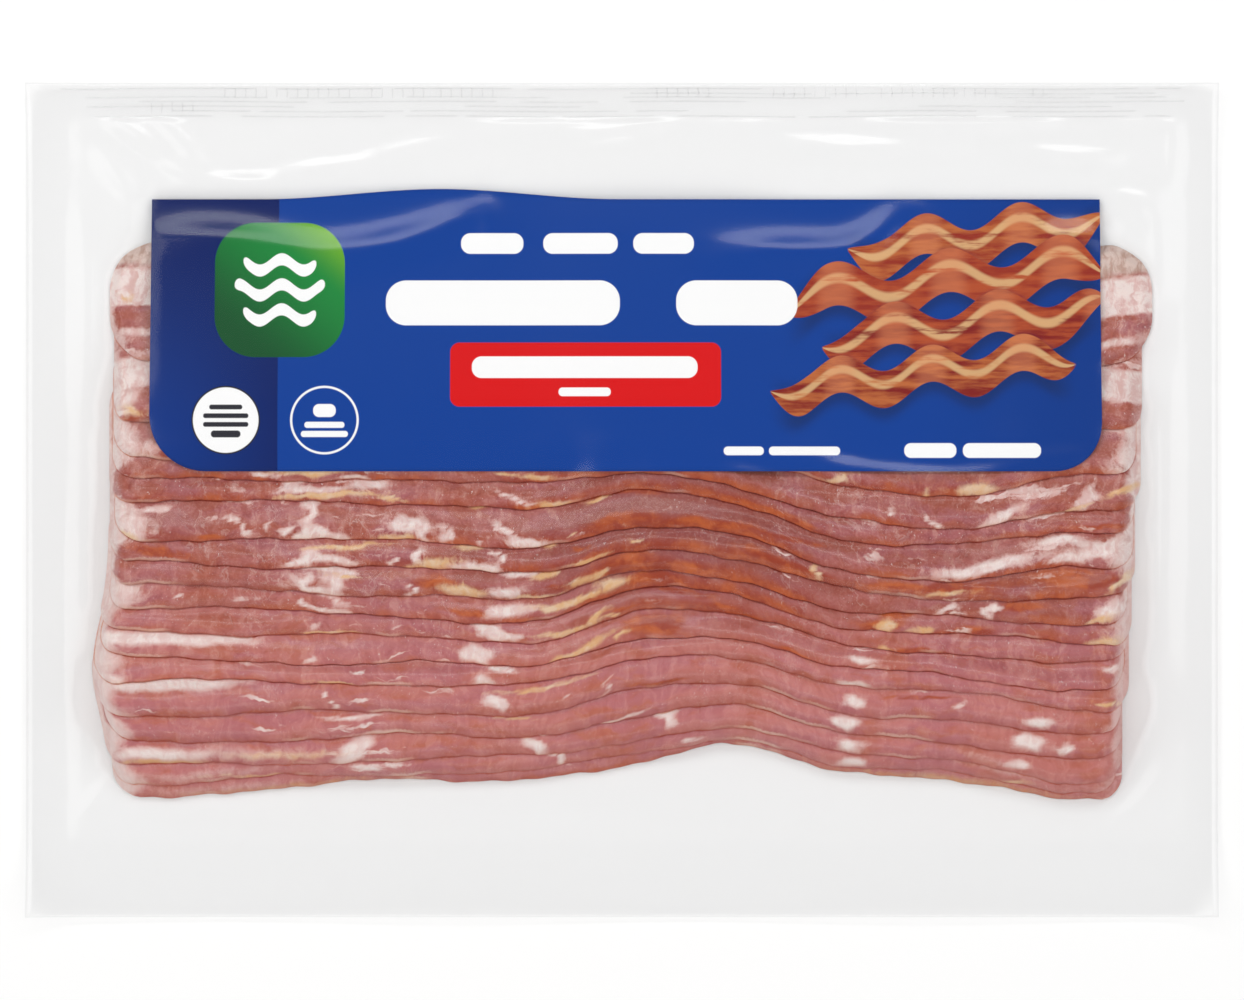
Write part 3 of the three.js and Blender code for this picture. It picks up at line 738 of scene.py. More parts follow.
def meatFinish():
    look = meatLook
    f = Finish("rasherMeat", IOR=1.4, Specular_IOR_Level=0.35, Subsurface_Weight=0.1,
               Subsurface_Radius=(0.003, 0.0012, 0.0008), Subsurface_Scale=0.4)
    cut = f.attribute("cut", "Vector")
    across = f.attribute("across")
    # 0 on the lowest slice and 1 on the top one
    upper = f.parts(cut)[2] / (ribbon["cutShift"] * (slices["count"] - 1) / ribbon["cutUnit"])
    warp = f.noise(cut, 1.6, 3.0, 0.55, "Color")
    places = {0: warp, 1: (0.7, 0.5, 0.5), 2: cut}
    bent = f.node("ShaderNodeVectorMath", dict(operation="MULTIPLY_ADD"), places)
    broad = f.noise(f.stretched(bent, 0.45, 1.6, 1.0), 1.0, 3.0)
    patch = f.noise(f.stretched(bent, 0.8, 2.2, 1.0), 1.3, 3.0)
    mottle = f.noise(bent, 3.4, 4.0, 0.62)
    fibre = f.noise(f.stretched(bent, 7.5, 1.3, 1.0), 1.0, 3.0, 0.6)
    fine = f.noise(cut, 19.0, 4.0, 0.65)
    lean = f.blend(broad.ramp(0.38, 0.62), look["leanPink"], look["leanMauve"])
    brownShare = (patch + (upper - 0.5) * 0.14).ramp(0.42, 0.68) * 0.85
    lean = f.blend(brownShare, lean, look["leanBrown"])
    coarse = 0.3 + 0.7 * upper.ramp(0.1, 0.7)
    pale = (mottle + (fibre - 0.5) * 0.6).ramp(0.48, 0.72) * coarse * 0.55
    lean = f.blend(pale, lean, look["leanPale"])
    lean = f.shade(mottle.ramp(0.5, 0.3) * coarse * 0.8, lean, look["mottleTint"])
    lean = f.shade(broad.ramp(0.5, 0.36) * 0.6, lean, look["broadTint"])
    lean = f.shade(fibre.ramp(0.6, 0.4) * 0.4, lean, look["fibreTint"])
    browned = f.attribute("toasted")
    toasted = (browned + (patch - 0.5) * 0.9 + (mottle - 0.5) * 0.4).ramp(0.1, 0.8)
    lean = f.blend(toasted * 0.62, lean, look["leanToasted"])
    lean = f.shade(upper.ramp(0.3, 0.62) * 0.75, lean, look["upperTint"])
    grainy = 0.05 + 0.95 * upper.ramp(0.25, 0.75)
    lean = f.shade(fine.ramp(0.58, 0.36) * grainy * 0.35, lean, look["fineTint"])
    lean = f.blend(fine.ramp(0.52, 0.7) * grainy * 0.2, lean, look["leanPale"])
    # fine pale frost flecks, partly painted wet glints, more of them on the upper slices
    frostAndGlintPlaces = f.noise(cut, 1.9, 2.0).ramp(0.46, 0.62) * (0.2 + 0.8 * upper)
    speck = f.noise(f.stretched(cut, 1.3, 0.8, 1.0), 15.0, 2.0, 0.6).ramp(0.65, 0.71)
    lean = f.blend(speck * frostAndGlintPlaces * 0.75, lean, look["frostAndGlint"])
    # thin pale webs between the muscles
    web = abs(f.noise(f.stretched(bent, 1.5, 0.9, 1.0), 1.2, 4.0, 0.6) - 0.5)
    webShare = web.ramp(0.02, 0.003) * f.noise(cut, 0.9).ramp(0.5, 0.62) * coarse * 0.28
    lean = f.blend(webShare, lean, look["web"])
    # marbling with torn edges
    wisp = 1 - abs(f.noise(f.stretched(bent, 2.6, 1.6, 1.0), 1.3, 4.0, 0.6) * 2 - 1)
    ragged = (wisp - 0.78) * 0.9 + (mottle - 0.5) * 0.7 + (fibre - 0.5) * 0.5 + (fine - 0.5) * 0.2
    ragged = ragged * (0.45 + 0.55 * upper.ramp(0.15, 0.75))
    fat = f.attribute("fat")
    smoke = f.attribute("smoke")
    cream = f.attribute("cream")
    streak = f.noise(f.stretched(bent, 0.55, 3.0, 1.0), 1.0, 3.0, 0.55).ramp(0.57, 0.7)
    fat = fat.most(streak * f.noise(cut, 0.45, 1.0).ramp(0.46, 0.62) * 0.72)
    nearFat = (fat + ragged * 0.6).ramp(0.12, 0.52) * 0.5
    lean = f.blend(nearFat, lean, look["leanPale"])
    bright = (patch * 0.6 + mottle * 0.4).ramp(0.38, 0.62)
    smokeColour = f.blend(bright, look["smokeDark"], look["smokeBright"])
    smokeShare = (smoke + ragged * 0.5).ramp(0.22, 0.8) * 0.85
    colour = f.blend(smokeShare, lean, smokeColour)
    # smoke along the cut edges of the upper slices, widest where the meat is browned
    edged = f.noise(f.stretched(cut, 0.35, 0.0, 1.0), 1.0, 2.0).ramp(0.4, 0.58) * upper.ramp(0.36, 0.6)
    edged = edged.most(browned.ramp(0.25, 0.75))
    edged = edged * ((across + ragged * 2.4) / (1 + browned * 0.9)).ramp(2.3, 0.3)
    colour = f.blend(edged * 0.82, colour, smokeColour)
    pinker = (mottle + fibre - 0.5).ramp(0.35, 0.7) * (0.35 + 0.65 * upper)
    fatColour = f.blend(pinker, look["fat"], look["fatPink"])
    colour = f.blend((fat + ragged * 0.8).ramp(0.17, 0.84) * 0.97, colour, fatColour)
    # thin pale line along parts of the cut edge
    lined = f.noise(f.stretched(cut, 0.5, 0.0, 1.0), 1.0, 2.0).ramp(0.54, 0.66)
    lined = lined * (across + (fine - 0.5) * 1.2).ramp(0.85, 0.4) * (0.55 - 0.25 * upper)
    colour = f.blend(lined, colour, look["linePale"])
    orange = (mottle * 0.6 + patch * 0.4).ramp(0.4, 0.6)
    creamColour = f.blend(orange, look["cream"], look["creamOrange"])
    colour = f.blend((cream + ragged * 0.8).ramp(0.16, 0.84) * 0.92, colour, creamColour)
    rindColour = f.blend((mottle + fibre - 0.5).ramp(0.35, 0.65), look["rindDark"], look["rindPale"])
    colour = f.blend(f.attribute("rind"), colour, rindColour)
    # a browner cut edge, and juice with painted shade in the crease below the next slice's edge
    warm = across.ramp(1.6, 0.2) * 0.45
    colour = f.shade(warm, colour, look["edgeTint"])
    nose = (across + (mottle - 0.5) * 0.5).ramp(0.34, 0.08)
    colour = f.shade(nose * 0.5, colour, look["noseTint"])
    deep = f.noise(f.stretched(cut, 0.9, 0.0, 1.0), 1.0, 2.0).ramp(0.36, 0.6)
    # juice and painted shade, darkest just below the next slice's lip
    creaseJuiceShade = (f.attribute("beforeNext") + (mottle - 0.5) * 0.9).ramp(0.42, 0.02)
    colour = f.shade(creaseJuiceShade * (0.25 + 0.6 * deep), colour, look["creaseJuiceShadeTint"])
    f.feed(f.shader, "Base Color", colour)
    f.feed(f.shader, "Roughness", look["roughness"] + (fine - 0.5) * 0.3)
    bumps = fine * 0.5 + fibre * 0.4 + mottle * 0.6
    f.feed(f.shader, "Normal", f.bump(bumps, 0.4, look["bumpDepth"]))
    return f.material


relief = dict(swellHeight=0.16, swellLength=9.0, fibreHeight=0.07, fibreLength=1.3)


def meatRelief(material):
    # soft swells and fine fibres that run across each slice
    inputs = {"Swell Height": relief["swellHeight"] * metre, "Swell Length": relief["swellLength"],
              "Fibre Height": relief["fibreHeight"] * metre, "Fibre Length": relief["fibreLength"],
              "Seed": 0.0, "Material": material}
    g = Shaping("meatRelief", inputs)
    cut = g.node("GeometryNodeInputNamedAttribute", dict(data_type="FLOAT_VECTOR"), {"Name": "cut"})
    noise = dict(noise_dimensions="4D")
    swell = {"Vector": cut, "W": g.inputs["Seed"],
             "Scale": 10 / g.inputs["Swell Length"], "Detail": 1.0}
    fibre = {"Vector": g.stretched(cut, 2.6, 0.7, 1.0), "W": g.inputs["Seed"],
             "Scale": 4 / g.inputs["Fibre Length"], "Detail": 2.0}
    high = (g.node("ShaderNodeTexNoise", noise, swell) - 0.5) * 2 * g.inputs["Swell Height"]
    high = high + (g.node("ShaderNodeTexNoise", noise, fibre) - 0.5) * 2 * g.inputs["Fibre Height"]
    across = g.node("GeometryNodeInputNamedAttribute", dict(data_type="FLOAT"), {"Name": "across"})
    normal = g.parts(g.node("GeometryNodeInputNormal"))[2]
    offset = g.vector(0.0, 0.0, high * across.ramp(0.2, 1.2) * normal.ramp(0.2, 0.8))
    places = {"Geometry": g.inputs["Geometry"], "Offset": offset}
    g.close(g.node("GeometryNodeSetPosition", None, places))
    return g


meat = meatFinish()
surface = meatRelief(meat)
slicePieces = [makeRasher(rasher, meat) for rasher in rashers]
for order, piece in enumerate(slicePieces):
    surface.apply(piece, Seed=1.3 * order)
print("slices:", len(slicePieces), "with", sum(len(p.data.polygons) for p in slicePieces), "faces")

# Film: the clear bag round the slices

bag = dict(
    length=276.0,
    width=193.0,
    webThickness=0.32,
    sealLeft=10.0,
    sealRight=8.0,
    sealFar=8.0,
    sealNear=17.0,
    sealStep=0.8,
    looseRise=0.42,
    filmGap=0.27,
    filmSlope=1.35,
    filmSoftness=0.55,
    filmMargin=9.0,
    sideMargin=2.0,
    fallReach=14.0,
    slackHeight=0.12,
    # the lower film lifts at the ends, at the near and far side, and more at the corners
    endLift=0.7,
    cornerLift=1.6,
    rippleHeight=0.35,
    columnStep=1.7,
    rowStep=0.8,
    folds=[
        # start, middle, end, height, half width
        ((-119, 89), (-111, 84), (-105, 79), 1.7, 2.0),
        ((-106, 80), (-102, 75), (-93, 74), 1.5, 2.0),
        ((-96, 74.5), (-88, 73), (-78, 74), 1.2, 2.2),
        ((-110, 90), (-101, 83), (-95.5, 75.5), 1.5, 1.9),
        ((-122, 81), (-116, 76), (-113, 69), 1.5, 2.0),
        ((-84, 74), (-68, 77.5), (-56, 78), 1.1, 2.4),
        ((-62, 77), (-50, 82), (-31, 83.5), 1.1, 2.6),
        ((-36, 83.5), (-22, 86), (-9, 84), 1.0, 2.6),
        ((-14, 84), (-2, 84.5), (12, 87.5), 1.3, 2.4),
        ((30, 84), (52, 79), (84, 83), 1.5, 2.8),
        ((56, 88), (80, 85), (104, 88), 1.3, 2.2),
        ((88, 82), (104, 78), (118, 80), 1.3, 2.4),
        ((127.5, 88), (128.5, 80), (127, 72), 1.2, 1.5),
        ((122, 78), (126, 60), (124, 44), 1.3, 2.8),
        ((112, 67), (114, 65), (116, 60), 1.0, 1.1),
        ((113, 69), (117, 67), (120, 62), 1.0, 1.2),
        ((113, 71), (119, 71), (124, 67), 1.0, 1.4),
        ((-125, 66), (-123, 48), (-125, 18), 1.2, 2.2),
        ((-126, 4), (-128, -30), (-124, -58), 1.0, 2.2),
        ((126, 34), (127, 0), (125, -40), 1.2, 2.4),
        ((-112, -74), (-70, -71), (-20, -73), 0.9, 2.0),
        ((-30, -68), (30, -73), (92, -76), 0.9, 2.2),
        ((110, -74), (119, -68), (123, -58), 0.9, 1.5),
        ((-118, -64), (-121, -69), (-127, -75), 0.9, 1.5),
        ((-71, -55), (-60, -53), (-50, -55), 0.4, 0.9),
        ((-42, -54), (-20, -51), (-12, -55), 0.4, 0.9),
        ((-39, -62), (-34, -60), (-28, -62), 0.4, 0.9),
        # over the label
        ((-110, 60), (-92, 62), (-70, 57), 1.1, 4.2),
        ((-78, 57), (-50, 56), (-32, 68), 1.2, 4.2),
        ((-33, 72), (-29, 65), (-31, 57), 0.7, 3.0),
        ((18, 57), (44, 57), (57, 58), 1.1, 4.0),
        ((50, 57), (61, 60), (66, 71), 1.1, 4.0),
        ((69, 71), (71, 64), (70, 56), 0.7, 3.0),
        ((95, 60), (104, 62), (112, 59), 1.0, 3.6),
    ],
)

labelPlace = dict(
    left=-108.8,
    right=110.6,
    near=6.6,
    far=69.6,
    crest=2.4,
    crestPlace=-42.0,
    crestReach=41.0,
    cornerLeft=13.0,
    cornerRight=11.0,
    bridgeReach=(7.0, 2.6),
    bridgeSlope=(0.34, 0.19),
    bridgeSoftness=4.0,
    sag=0.8,
    sagSoftness=3.0,
    sagReach=14.0,
    lift=0.1,
    liftReach=(1.7, 1.6),
    liftSoftness=1.6,
    blend=5.0,
    beyond=13.0,
    bridgeFall=64.0,
    thickness=0.12,
    belowFilm=0.07,
)

contentsNear = slices["edgePlaces"][0]
contentsFar = slices["edgePlaces"][-1] + rashers[-1].width
contentsSide = max(slices["leftBulge"] - slices["leftEnd"], rashers[-1].right)
bagEnd = bag["length"] / 2
bagSide = bag["width"] / 2


def outward(x, y):
    side = contentsSide + bag["sideMargin"]
    far = contentsFar + bag["filmMargin"]
    near = contentsNear - bag["filmMargin"]
    alongX = np.maximum(np.abs(x) - side, 0) / (bagEnd - side)
    beyondFar = np.maximum(y - far, 0) / (bagSide - far)
    beyondNear = np.maximum(near - y, 0) / (near + bagSide)
    return alongX, np.maximum(beyondFar, beyondNear)


def bottomHeight(x, y):
    alongX, alongY = outward(x, y)
    rim = bag["endLift"] * alongX**2 + alongY**2
    corners = bag["cornerLift"] * alongX**2 * alongY**2
    ripple = bag["rippleHeight"] * (1 + np.sin(x / 17 + y / 40)) * alongY**2
    return rim + corners + ripple


def insideSeal(x, y):
    fromLeft = x + bagEnd - bag["sealLeft"]
    fromRight = bagEnd - bag["sealRight"] - x
    fromNear = y + bagSide - bag["sealNear"]
    fromFar = bagSide - bag["sealFar"] - y
    return smooth(np.minimum.reduce([fromLeft, fromRight, fromNear, fromFar]) / bag["sealStep"])


def labelShare(x, y, beyond=0.0):
    # beyond is how far the share goes on past the far edge
    side = np.minimum(x - labelPlace["left"], labelPlace["right"] - x)
    end = np.minimum(y - labelPlace["near"], labelPlace["far"] + beyond - y)
    return smooth(1 + np.minimum(side, end) / labelPlace["blend"])


def tented(heights, slope, farSlope, stepX, stepY, reach):
    # no point falls away from its neighbours faster than the slopes, the second one for the far side
    moves = [(row, column) for row in (-1, 0, 1) for column in (-1, 0, 1) if row or column]
    for _ in range(int(reach / stepY)):
        for row, column in moves:
            rise = farSlope if row > 0 else slope
            drop = math.hypot(rise * row * stepY, slope * column * stepX)
            moved = np.roll(heights, (row, column), (0, 1)) - drop
            heights = np.maximum(heights, moved)
    return heights


def widened(heights, reach, stepX, stepY):
    # each height spreads sideways over a short reach
    for axis, step, length in ((0, stepY, reach[1]), (1, stepX, reach[0])):
        cells = int(round(length / step))
        moves = range(-cells, cells + 1)
        heights = np.maximum.reduce([np.roll(heights, move, axis) for move in moves])
    return heights


def softened(heights, spread, stepX, stepY):
    for axis, step in ((0, stepY), (1, stepX)):
        reach = max(int(3 * spread / step), 1)
        offsets = np.arange(-reach, reach + 1) * step
        weights = np.exp(-0.5 * (offsets / spread) ** 2)
        weights /= weights.sum()
        heights = sum(w * np.roll(heights, i - reach, axis) for i, w in enumerate(weights))
    return heights


def foldHeight(x, y):
    total = np.zeros(x.shape)
    t = np.linspace(0, 1, 50)
    for start, middle, end, height, width in bag["folds"]:
        turns = zip(start, middle, end)
        path = [(1 - t) ** 2 * a + 2 * t * (1 - t) * b + t * t * c for a, b, c in turns]
        nearest = np.full(x.shape, 1e9)
        place = np.zeros(x.shape)
        for px, py, pt in zip(*path, t):
            distance = np.hypot(x - px, y - py)
            closer = distance < nearest
            nearest = np.where(closer, distance, nearest)
            place = np.where(closer, pt, place)
        taper = np.sin(math.pi * np.clip(place, 0.02, 0.98)) ** 0.7
        total += height * taper * np.exp(-((nearest / width) ** 2))
    return total


def filmGrid():
    columnCount = int(bag["length"] / bag["columnStep"]) + 1
    rowCount = int(bag["width"] / bag["rowStep"]) + 1
    xs = np.linspace(-bagEnd, bagEnd, columnCount)
    ys = np.linspace(-bagSide, bagSide, rowCount)
    x, y = np.meshgrid(xs, ys)
    stepX, stepY = xs[1] - xs[0], ys[1] - ys[0]
    stack = contentsHeight(x, y)
    contents = np.where(stack > slices["floorGap"] + 1e-6, stack, 0)
    tight = tented(contents, bag["filmSlope"], bag["filmSlope"], stepX, stepY, bag["fallReach"])
    tight = softened(tight, bag["filmSoftness"], stepX, stepY)
    bridge = widened(contents, labelPlace["bridgeReach"], stepX, stepY)
    bridge = tented(bridge, *labelPlace["bridgeSlope"], stepX, stepY, labelPlace["bridgeFall"])
    bridge = softened(bridge, labelPlace["bridgeSoftness"], stepX, stepY)
    # near its near edge the label lies down on the meat
    sag = softened(bridge - tight, labelPlace["sagSoftness"], stepX, stepY)
    sagging = smooth(1 - (y - labelPlace["near"]) / labelPlace["sagReach"])
    bridge = bridge - labelPlace["sag"] * sag * sagging
    film = mix(tight, bridge, labelShare(x, y, labelPlace["beyond"])) + bag["filmGap"]
    bottom = bottomHeight(x, y)
    loose = insideSeal(x, y)
    fromRim = np.minimum(bagEnd - np.abs(x), bagSide - np.abs(y))
    web = bag["webThickness"] * (0.2 + 0.8 * smooth(fromRim / 2.5))
    rim = bottom + web + bag["looseRise"] * loose
    top = np.maximum.reduce([contents + bag["filmGap"], film, rim])
    # rounded over what pushes up under the label
    lifted = widened(contents, labelPlace["liftReach"], stepX, stepY)
    lifted = np.maximum(top, lifted + bag["filmGap"] + labelPlace["lift"])
    rounded = softened(lifted, labelPlace["liftSoftness"], stepX, stepY)
    top = mix(top, rounded, labelShare(x, y))
    slack = bag["slackHeight"] * np.sin(x / 11 + y / 7) * np.sin(y / 9 - x / 23)
    top = top + loose * (foldHeight(x, y) + slack * (1 - np.clip(contents / 2, 0, 1)))
    return xs, ys, x, y, np.maximum(top, bottom + web), bottom


filmX, filmY, gridX, gridY, filmTop, filmBottom = filmGrid()


def filmAt(x, y):
    u = np.clip((x - filmX[0]) / (filmX[1] - filmX[0]), 0, len(filmX) - 1.001)
    v = np.clip((y - filmY[0]) / (filmY[1] - filmY[0]), 0, len(filmY) - 1.001)
    i, j = u.astype(int), v.astype(int)
    low = mix(filmTop[j, i], filmTop[j, i + 1], u - i)
    high = mix(filmTop[j + 1, i], filmTop[j + 1, i + 1], u - i)
    return mix(low, high, v - j)


filmLook = dict(
    colour=(0.9745, 0.9745, 0.9755),
    shineRoughness=0.18,
    creaseScale=90.0,
    creaseStrength=0.25,
    creaseDepth=0.0012,
    # shine seen from straight above, and what the seal adds
    shine=0.035,
    sealShine=0.009,
    # where the film clings to the meat it has less shine of its own
    clinging=0.55,
)


def filmFinish():
    look = filmLook
    f = Finish("clearFilm")
    f.tree.nodes.remove(f.shader)
    creases = f.noise(f.stretched(f.point(), 1.0, 1.6, 1.0), look["creaseScale"], 3.0, 0.55)
    creases = creases * (1 - f.attribute("onLabel"))
    normal = f.bump(creases, look["creaseStrength"], look["creaseDepth"])
    clear = f.node("ShaderNodeBsdfTransparent", places={"Color": look["colour"]})
    places = {"Color": (1, 1, 1), "Roughness": look["shineRoughness"], "Normal": normal}
    gloss = f.node("ShaderNodeBsdfGlossy", places=places)
    facing = f.node("ShaderNodeLayerWeight", places={"Blend": 0.5, "Normal": normal}, output=1)
    share = look["shine"] + (1 - look["shine"]) * facing.calculate("POWER", facing, 5.0)
    share = share + look["sealShine"] * f.attribute("sealed")
    share = share * (1 - look["clinging"] * f.attribute("clinging"))
    mixed = f.node("ShaderNodeMixShader", places={0: share, 1: clear, 2: gloss})
    f.feed(f.output, "Surface", mixed)
    return f.material


def makeBag(material):
    upper = np.stack([gridX.ravel(), gridY.ravel(), filmTop.ravel()], axis=1)
    lower = np.stack([gridX.ravel(), gridY.ravel(), filmBottom.ravel()], axis=1)
    piece = closedSheet("clear_bag", upper, lower, len(filmX), material)
    onLabel = labelShare(gridX, gridY)
    onMeat = smooth(contentsHeight(gridX, gridY) / 2) * (1 - onLabel)
    sealed = 1 - insideSeal(gridX, gridY)
    for name, values in (("clinging", onMeat), ("onLabel", onLabel), ("sealed", sealed)):
        addValues(piece, name, np.tile(values.ravel(), 2))
    return piece


clearFilm = filmFinish()
clearBag = makeBag(clearFilm)
print("clear bag:", len(clearBag.data.polygons), "faces")

# Ribs of the heat seal at the far edge

ribs = dict(
    radius=0.13,
    sink=0.06,
    step=3.0,
    seed=5,
    # shortest and longest rib, and the gaps between them
    lengths=(12, 55),
    gaps=(1, 6),
    sway=0.12,
    # y, first x, last x and share of the length that is there
    lines=[(95.2, -130, 132, 0.9), (94.1, -118, 126, 0.8), (93.2, -124, 128, 0.9),
           (92.2, -112, 132, 0.75), (91.1, -124, 126, 0.85), (90.0, -104, 120, 0.7),
           (88.8, -122, 130, 0.9)],
    # x of the first and last tick, y of their ends
    ticks=[(-92, -63, 93.2, 95.4), (-58, -46, 93.2, 95.4), (-42, -29, 93.2, 95.4),
           (8, 21, 93.2, 95.4), (35, 56, 93.2, 95.4), (60, 88, 93.2, 95.4),
           (95, 99, 93.2, 95.4), (-109, -98, 89.8, 92.0)],
    tickGap=2.4,
    tickSway=0.15,
)


def ribPaths():
    draw = np.random.default_rng(ribs["seed"])
    paths = []
    for y, first, last, kept in ribs["lines"]:
        x = first
        while x < last:
            end = min(x + draw.uniform(*ribs["lengths"]), last)
            if draw.random() < kept:
                places = np.arange(x, end, ribs["step"])
                paths.append([(place, y + ribs["sway"] * math.sin(place / 9)) for place in places])
            x = end + draw.uniform(*ribs["gaps"])
    for first, last, low, high in ribs["ticks"]:
        for x in np.arange(first, last + 0.1, ribs["tickGap"]):
            paths.append([(x, low), (x + ribs["tickSway"], (low + high) / 2), (x, high)])
    return [path for path in paths if len(path) > 1]


def makeRibs(material):
    points, edges = [], []
    for path in ribPaths():
        start = len(points)
        x, y = np.array(path).T
        points += np.stack([x, y, filmAt(x, y) - ribs["sink"]], axis=1).tolist()
        edges += [(start + i, start + i + 1) for i in range(len(path) - 1)]
    mesh = bpy.data.meshes.new("seal_ribs")
    mesh.from_pydata((np.array(points) * metre).tolist(), edges, [])
    piece = bpy.data.objects.new("seal_ribs", mesh)
    bpy.context.scene.collection.objects.link(piece)
    g = Shaping("sealRibs", {"Rib Radius": ribs["radius"] * metre, "Material": material})
    curves = g.node("GeometryNodeMeshToCurve", places={0: g.inputs["Geometry"]})
    places = {"Resolution": 6, "Radius": g.inputs["Rib Radius"]}
    ring = g.node("GeometryNodeCurvePrimitiveCircle", None, places)
    places = {"Curve": curves, "Profile Curve": ring, "Fill Caps": True}
    g.close(g.node("GeometryNodeCurveToMesh", None, places))
    g.apply(piece)
    return piece


sealRibs = makeRibs(clearFilm)
print("seal ribs:", len(sealRibs.data.polygons), "faces")

# Label

labelMesh = dict(columnStep=1.3, rowStep=1.0, cornerSteps=12)


def labelNear(x):
    fromEnds = (x - labelPlace["left"], labelPlace["right"] - x)
    rise = np.zeros(len(x))
    for fromEnd, radius in zip(fromEnds, (labelPlace["cornerLeft"], labelPlace["cornerRight"])):
        cut = np.clip(radius - fromEnd, 0, radius)
        rise = np.maximum(rise, radius - np.sqrt(radius**2 - cut**2))
    return labelPlace["near"] + rise


def labelFar(x):
    # pulled up by the film on the part left of the middle
    fromCrest = np.abs(x - labelPlace["crestPlace"]) / labelPlace["crestReach"]
    return labelPlace["far"] + labelPlace["crest"] * smooth(1 - fromCrest)


def makeLabel(material):
    corners = 1 - np.cos(np.linspace(0, math.pi / 2, labelMesh["cornerSteps"] + 1))
    left = labelPlace["left"] + labelPlace["cornerLeft"] * corners
    right = labelPlace["right"] - labelPlace["cornerRight"] * corners[::-1]
    count = int((right[0] - left[-1]) / labelMesh["columnStep"])
    columns = np.concatenate([left[:-1], np.linspace(left[-1], right[0], count), right[1:]])
    rowCount = int((labelPlace["far"] - labelPlace["near"]) / labelMesh["rowStep"])
    share = np.linspace(0, 1, rowCount)[:, None]
    y = mix(labelNear(columns)[None, :], labelFar(columns)[None, :], share).ravel()
    x = np.broadcast_to(columns[None, :], (rowCount, len(columns))).ravel()
    top = filmAt(x, y) - labelPlace["belowFilm"]
    upper = np.stack([x, y, top], axis=1)
    lower = upper - np.array([0, 0, labelPlace["thickness"]])
    return closedSheet("printed_sheet", upper, lower, len(columns), material)


labelPrint = dict(
    blue=(0.001, 0.052, 0.325),
    blueDeep=(0.0005, 0.04, 0.26),
    navy=(0.0015, 0.014, 0.125),
    navyBright=(0.0015, 0.038, 0.255),
    red=(0.74, 0.004, 0.006),
    white=(1.0, 1.0, 1.0),
    greenDark=(0.007, 0.09, 0.026),
    green=(0.012, 0.26, 0.05),
    greenLight=(0.22, 0.52, 0.02),
    discRim=(0.02, 0.02, 0.03),
    discInk=(0.03, 0.03, 0.04),
    navyEdge=-79.3,
    softness=0.12,
    badge=dict(x=-79.0, y=48.5, half=(15.0, 15.6), radius=9.5),
    # white waves on the badge: rise and half length
    badgeWaves=[(5.8, 8.4), (0.0, 10.4), (-5.8, 8.4)],
    badgeWave=dict(turn=0.62, height=1.3, halfWidth=1.4),
    # centre x and y, half length and half height of plain bars where the print has words
    titleBars=[(-30.0, 59.3, 7.2, 2.4), (-9.6, 59.3, 8.6, 2.4), (9.6, 59.3, 7.0, 2.4)],
    largeBars=[(-27.5, 45.5, 27.0, 5.2), (26.5, 45.5, 14.0, 5.2)],
    # the same, with the radius of its corners
    redPanel=(-8.4, 28.9, 31.2, 7.4, 2.2),
    redBars=[(-8.6, 30.6, 26.0, 2.5), (-8.6, 24.9, 6.0, 1.0)],
    smallBars=[(28.0, 11.3, 4.6, 1.0), (42.0, 11.3, 8.2, 1.0), (71.0, 11.4, 6.0, 1.7),
               (87.5, 11.4, 9.0, 1.7)],
    # centre x and y, radius
    disc=(-91.2, 18.4, 7.9),
    ring=(-68.5, 18.4, 7.9),
    discRimWidth=0.35,
    ringWidth=0.5,
    discBars=[(-91.2, 21.4, 3.8, 0.55), (-91.2, 19.4, 5.2, 0.55), (-91.2, 17.4, 5.2, 0.55),
              (-91.2, 15.2, 3.4, 0.8)],
    ringBars=[(-68.5, 20.6, 2.6, 1.5), (-68.5, 17.3, 4.6, 0.7), (-68.5, 15.2, 5.4, 0.7)],
)


class Print(Finish):
    # flat shapes on the label, each as a share from 0 to 1
    def __init__(self, name, **constants):
        super().__init__(name, **constants)
        self.place = self.stretched(self.point(), 1000.0, 1000.0, 0.0)
        self.x, self.y, _ = self.parts(self.place)

    def vectorMath(self, operation, *values, output=0):
        places = dict(enumerate(values))
        return self.node("ShaderNodeVectorMath", dict(operation=operation), places, output)

    def within(self, offset, radius):
        soft = labelPrint["softness"]
        distance = self.vectorMath("LENGTH", offset, output="Value")
        return distance.ramp(radius + soft, radius - soft)

    def bar(self, x, y, halfLength, halfHeight, radius=None, place=None):
        radius = min(halfHeight, halfLength) * 0.9 if radius is None else radius
        offset = self.vectorMath("SUBTRACT", place or self.place, (x, y, 0))
        offset = self.vectorMath("ABSOLUTE", offset)
        corner = (halfLength - radius, halfHeight - radius, 0)
        beyond = self.vectorMath("SUBTRACT", offset, corner)
        return self.within(self.vectorMath("MAXIMUM", beyond, (0, 0, 0)), radius)

    def disc(self, x, y, radius):
        return self.within(self.vectorMath("SUBTRACT", self.place, (x, y, 0)), radius)

    def bars(self, rows):
        share = self.bar(*rows[0])
        for row in rows[1:]:
            share = share.most(self.bar(*row))
        return share


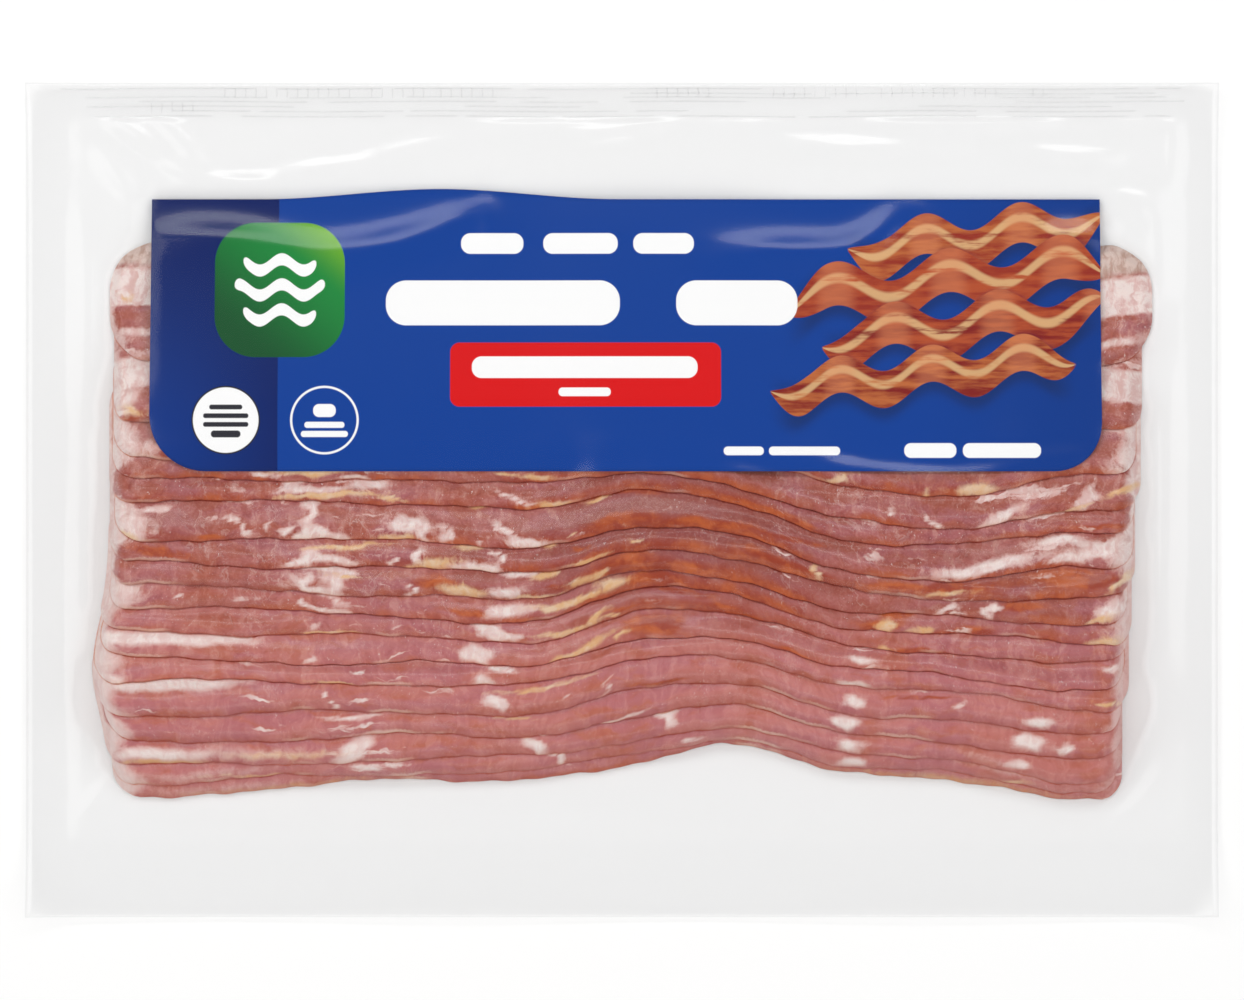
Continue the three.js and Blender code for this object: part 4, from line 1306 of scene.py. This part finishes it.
def printFinish():
    p = labelPrint
    f = Print("labelPrint", Roughness=0.5, Specular_IOR_Level=0.0)
    white = p["white"]
    down = f.y.ramp(labelPlace["far"], labelPlace["near"])
    colour = f.blend(f.x.ramp(60.0, 112.0) * 0.8, p["blue"], p["blueDeep"])
    navyShare = f.x.ramp(p["navyEdge"] + 0.1, p["navyEdge"] - 0.1)
    glow = down * f.x.ramp(-70.0, -110.0)
    colour = f.blend(navyShare, colour, f.blend(glow, p["navy"], p["navyBright"]))
    colour = waveMotif(f, colour)
    badge = p["badge"]
    badgeShare = f.bar(badge["x"], badge["y"], *badge["half"], badge["radius"])
    toCorner = (f.x - badge["x"]) * 0.03 + (f.y - badge["y"]) * 0.035
    green = f.blend(toCorner.ramp(-0.7, 0.5), p["greenDark"], p["green"])
    green = f.blend(toCorner.ramp(0.35, 1.0), green, p["greenLight"])
    colour = f.blend(badgeShare, colour, green)
    wave = p["badgeWave"]
    swung = f.vector(f.x, f.y - (f.x * wave["turn"]).sine() * wave["height"], 0.0)
    for rise, half in p["badgeWaves"]:
        line = f.bar(badge["x"], badge["y"] + rise, half, wave["halfWidth"], place=swung)
        colour = f.blend(line, colour, white)
    words = f.bars(p["titleBars"] + p["largeBars"] + p["smallBars"])
    colour = f.blend(words, colour, white)
    colour = f.blend(f.bar(*p["redPanel"]), colour, p["red"])
    colour = f.blend(f.bars(p["redBars"]), colour, white)
    x, y, radius = p["disc"]
    colour = f.blend(f.disc(x, y, radius), colour, p["discRim"])
    colour = f.blend(f.disc(x, y, radius - p["discRimWidth"]), colour, white)
    colour = f.blend(f.bars(p["discBars"]), colour, p["discInk"])
    x, y, radius = p["ring"]
    ring = f.disc(x, y, radius) * (1 - f.disc(x, y, radius - p["ringWidth"]))
    colour = f.blend(ring.most(f.bars(p["ringBars"])), colour, white)
    f.feed(f.shader, "Base Color", colour)
    return f.material


motif = dict(
    centre=(70.0, 42.0),
    # offset up, wave height, wave length, phase, half width, start and end in x
    bands=[
        (17.0, 2.6, 22.0, 0.4, 4.6, 52.0, 111.0),
        (7.5, 3.0, 26.0, 2.2, 5.0, 38.0, 111.0),
        (-3.0, 2.8, 24.0, 4.0, 4.8, 46.0, 111.0),
        (-13.0, 2.4, 21.0, 5.4, 4.2, 34.0, 104.0),
    ],
    slope=0.12,
    browns=[(0.32, 0.03, 0.016), (0.48, 0.085, 0.028), (0.24, 0.014, 0.012), (0.54, 0.15, 0.045)],
    cream=(0.78, 0.5, 0.24),
    highlight=(0.8, 0.3, 0.14),
    shadow=(0.006, 0.02, 0.09),
    shadowDrop=1.6,
)


def waveMotif(f, colour):
    # loose flowing bands in the colours of crisp meat, over a soft shadow
    grain = f.noise(f.stretched(f.place, 0.08, 0.5, 1.0), 1.0, 4.0, 0.6)
    for order, (up, height, length, phase, half, start, end) in enumerate(motif["bands"]):
        swing = (f.x * (2 * math.pi / length) + phase).sine()
        middle = swing * height + motif["centre"][1] + up
        middle = middle + (f.x - motif["centre"][0]) * motif["slope"]
        away = f.y - middle
        taper = f.x.ramp(start, start + 9) * f.x.ramp(end + 1, end - 8)
        taper = taper.calculate("POWER", taper, 0.5)
        ends = f.x.ramp(start, start + 0.5) * f.x.ramp(end + 1, end)
        shadowEnds = f.x.ramp(start - 1, start + 7) * f.x.ramp(end + 2, end - 6)
        shadow = abs(away + motif["shadowDrop"]).ramp(half + 3.0, half - 1.0) * shadowEnds * 0.6
        colour = f.blend(shadow, colour, motif["shadow"])
        body = f.blend(grain.ramp(0.35, 0.65), motif["browns"][order], motif["browns"][order - 1])
        away = away / (taper + 0.02)
        stripe = abs(away - 0.25 * half).ramp(half * 0.32, half * 0.12) * grain.ramp(0.3, 0.5)
        body = f.blend(stripe * 0.8, body, motif["cream"])
        body = f.blend(swing.ramp(0.2, 1.0) * 0.35, body, motif["highlight"])
        colour = f.blend(abs(away).ramp(half + 0.1, half - 0.1) * ends, colour, body)
    return colour


printedSheet = makeLabel(printFinish())
print("label:", len(printedSheet.data.polygons), "faces")

# What the frame needs to know

for piece in slicePieces + [clearBag, sealRibs]:
    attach(piece, "root")
    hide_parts("sealed_pack")
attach(printedSheet, "root")
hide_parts("printed_label")
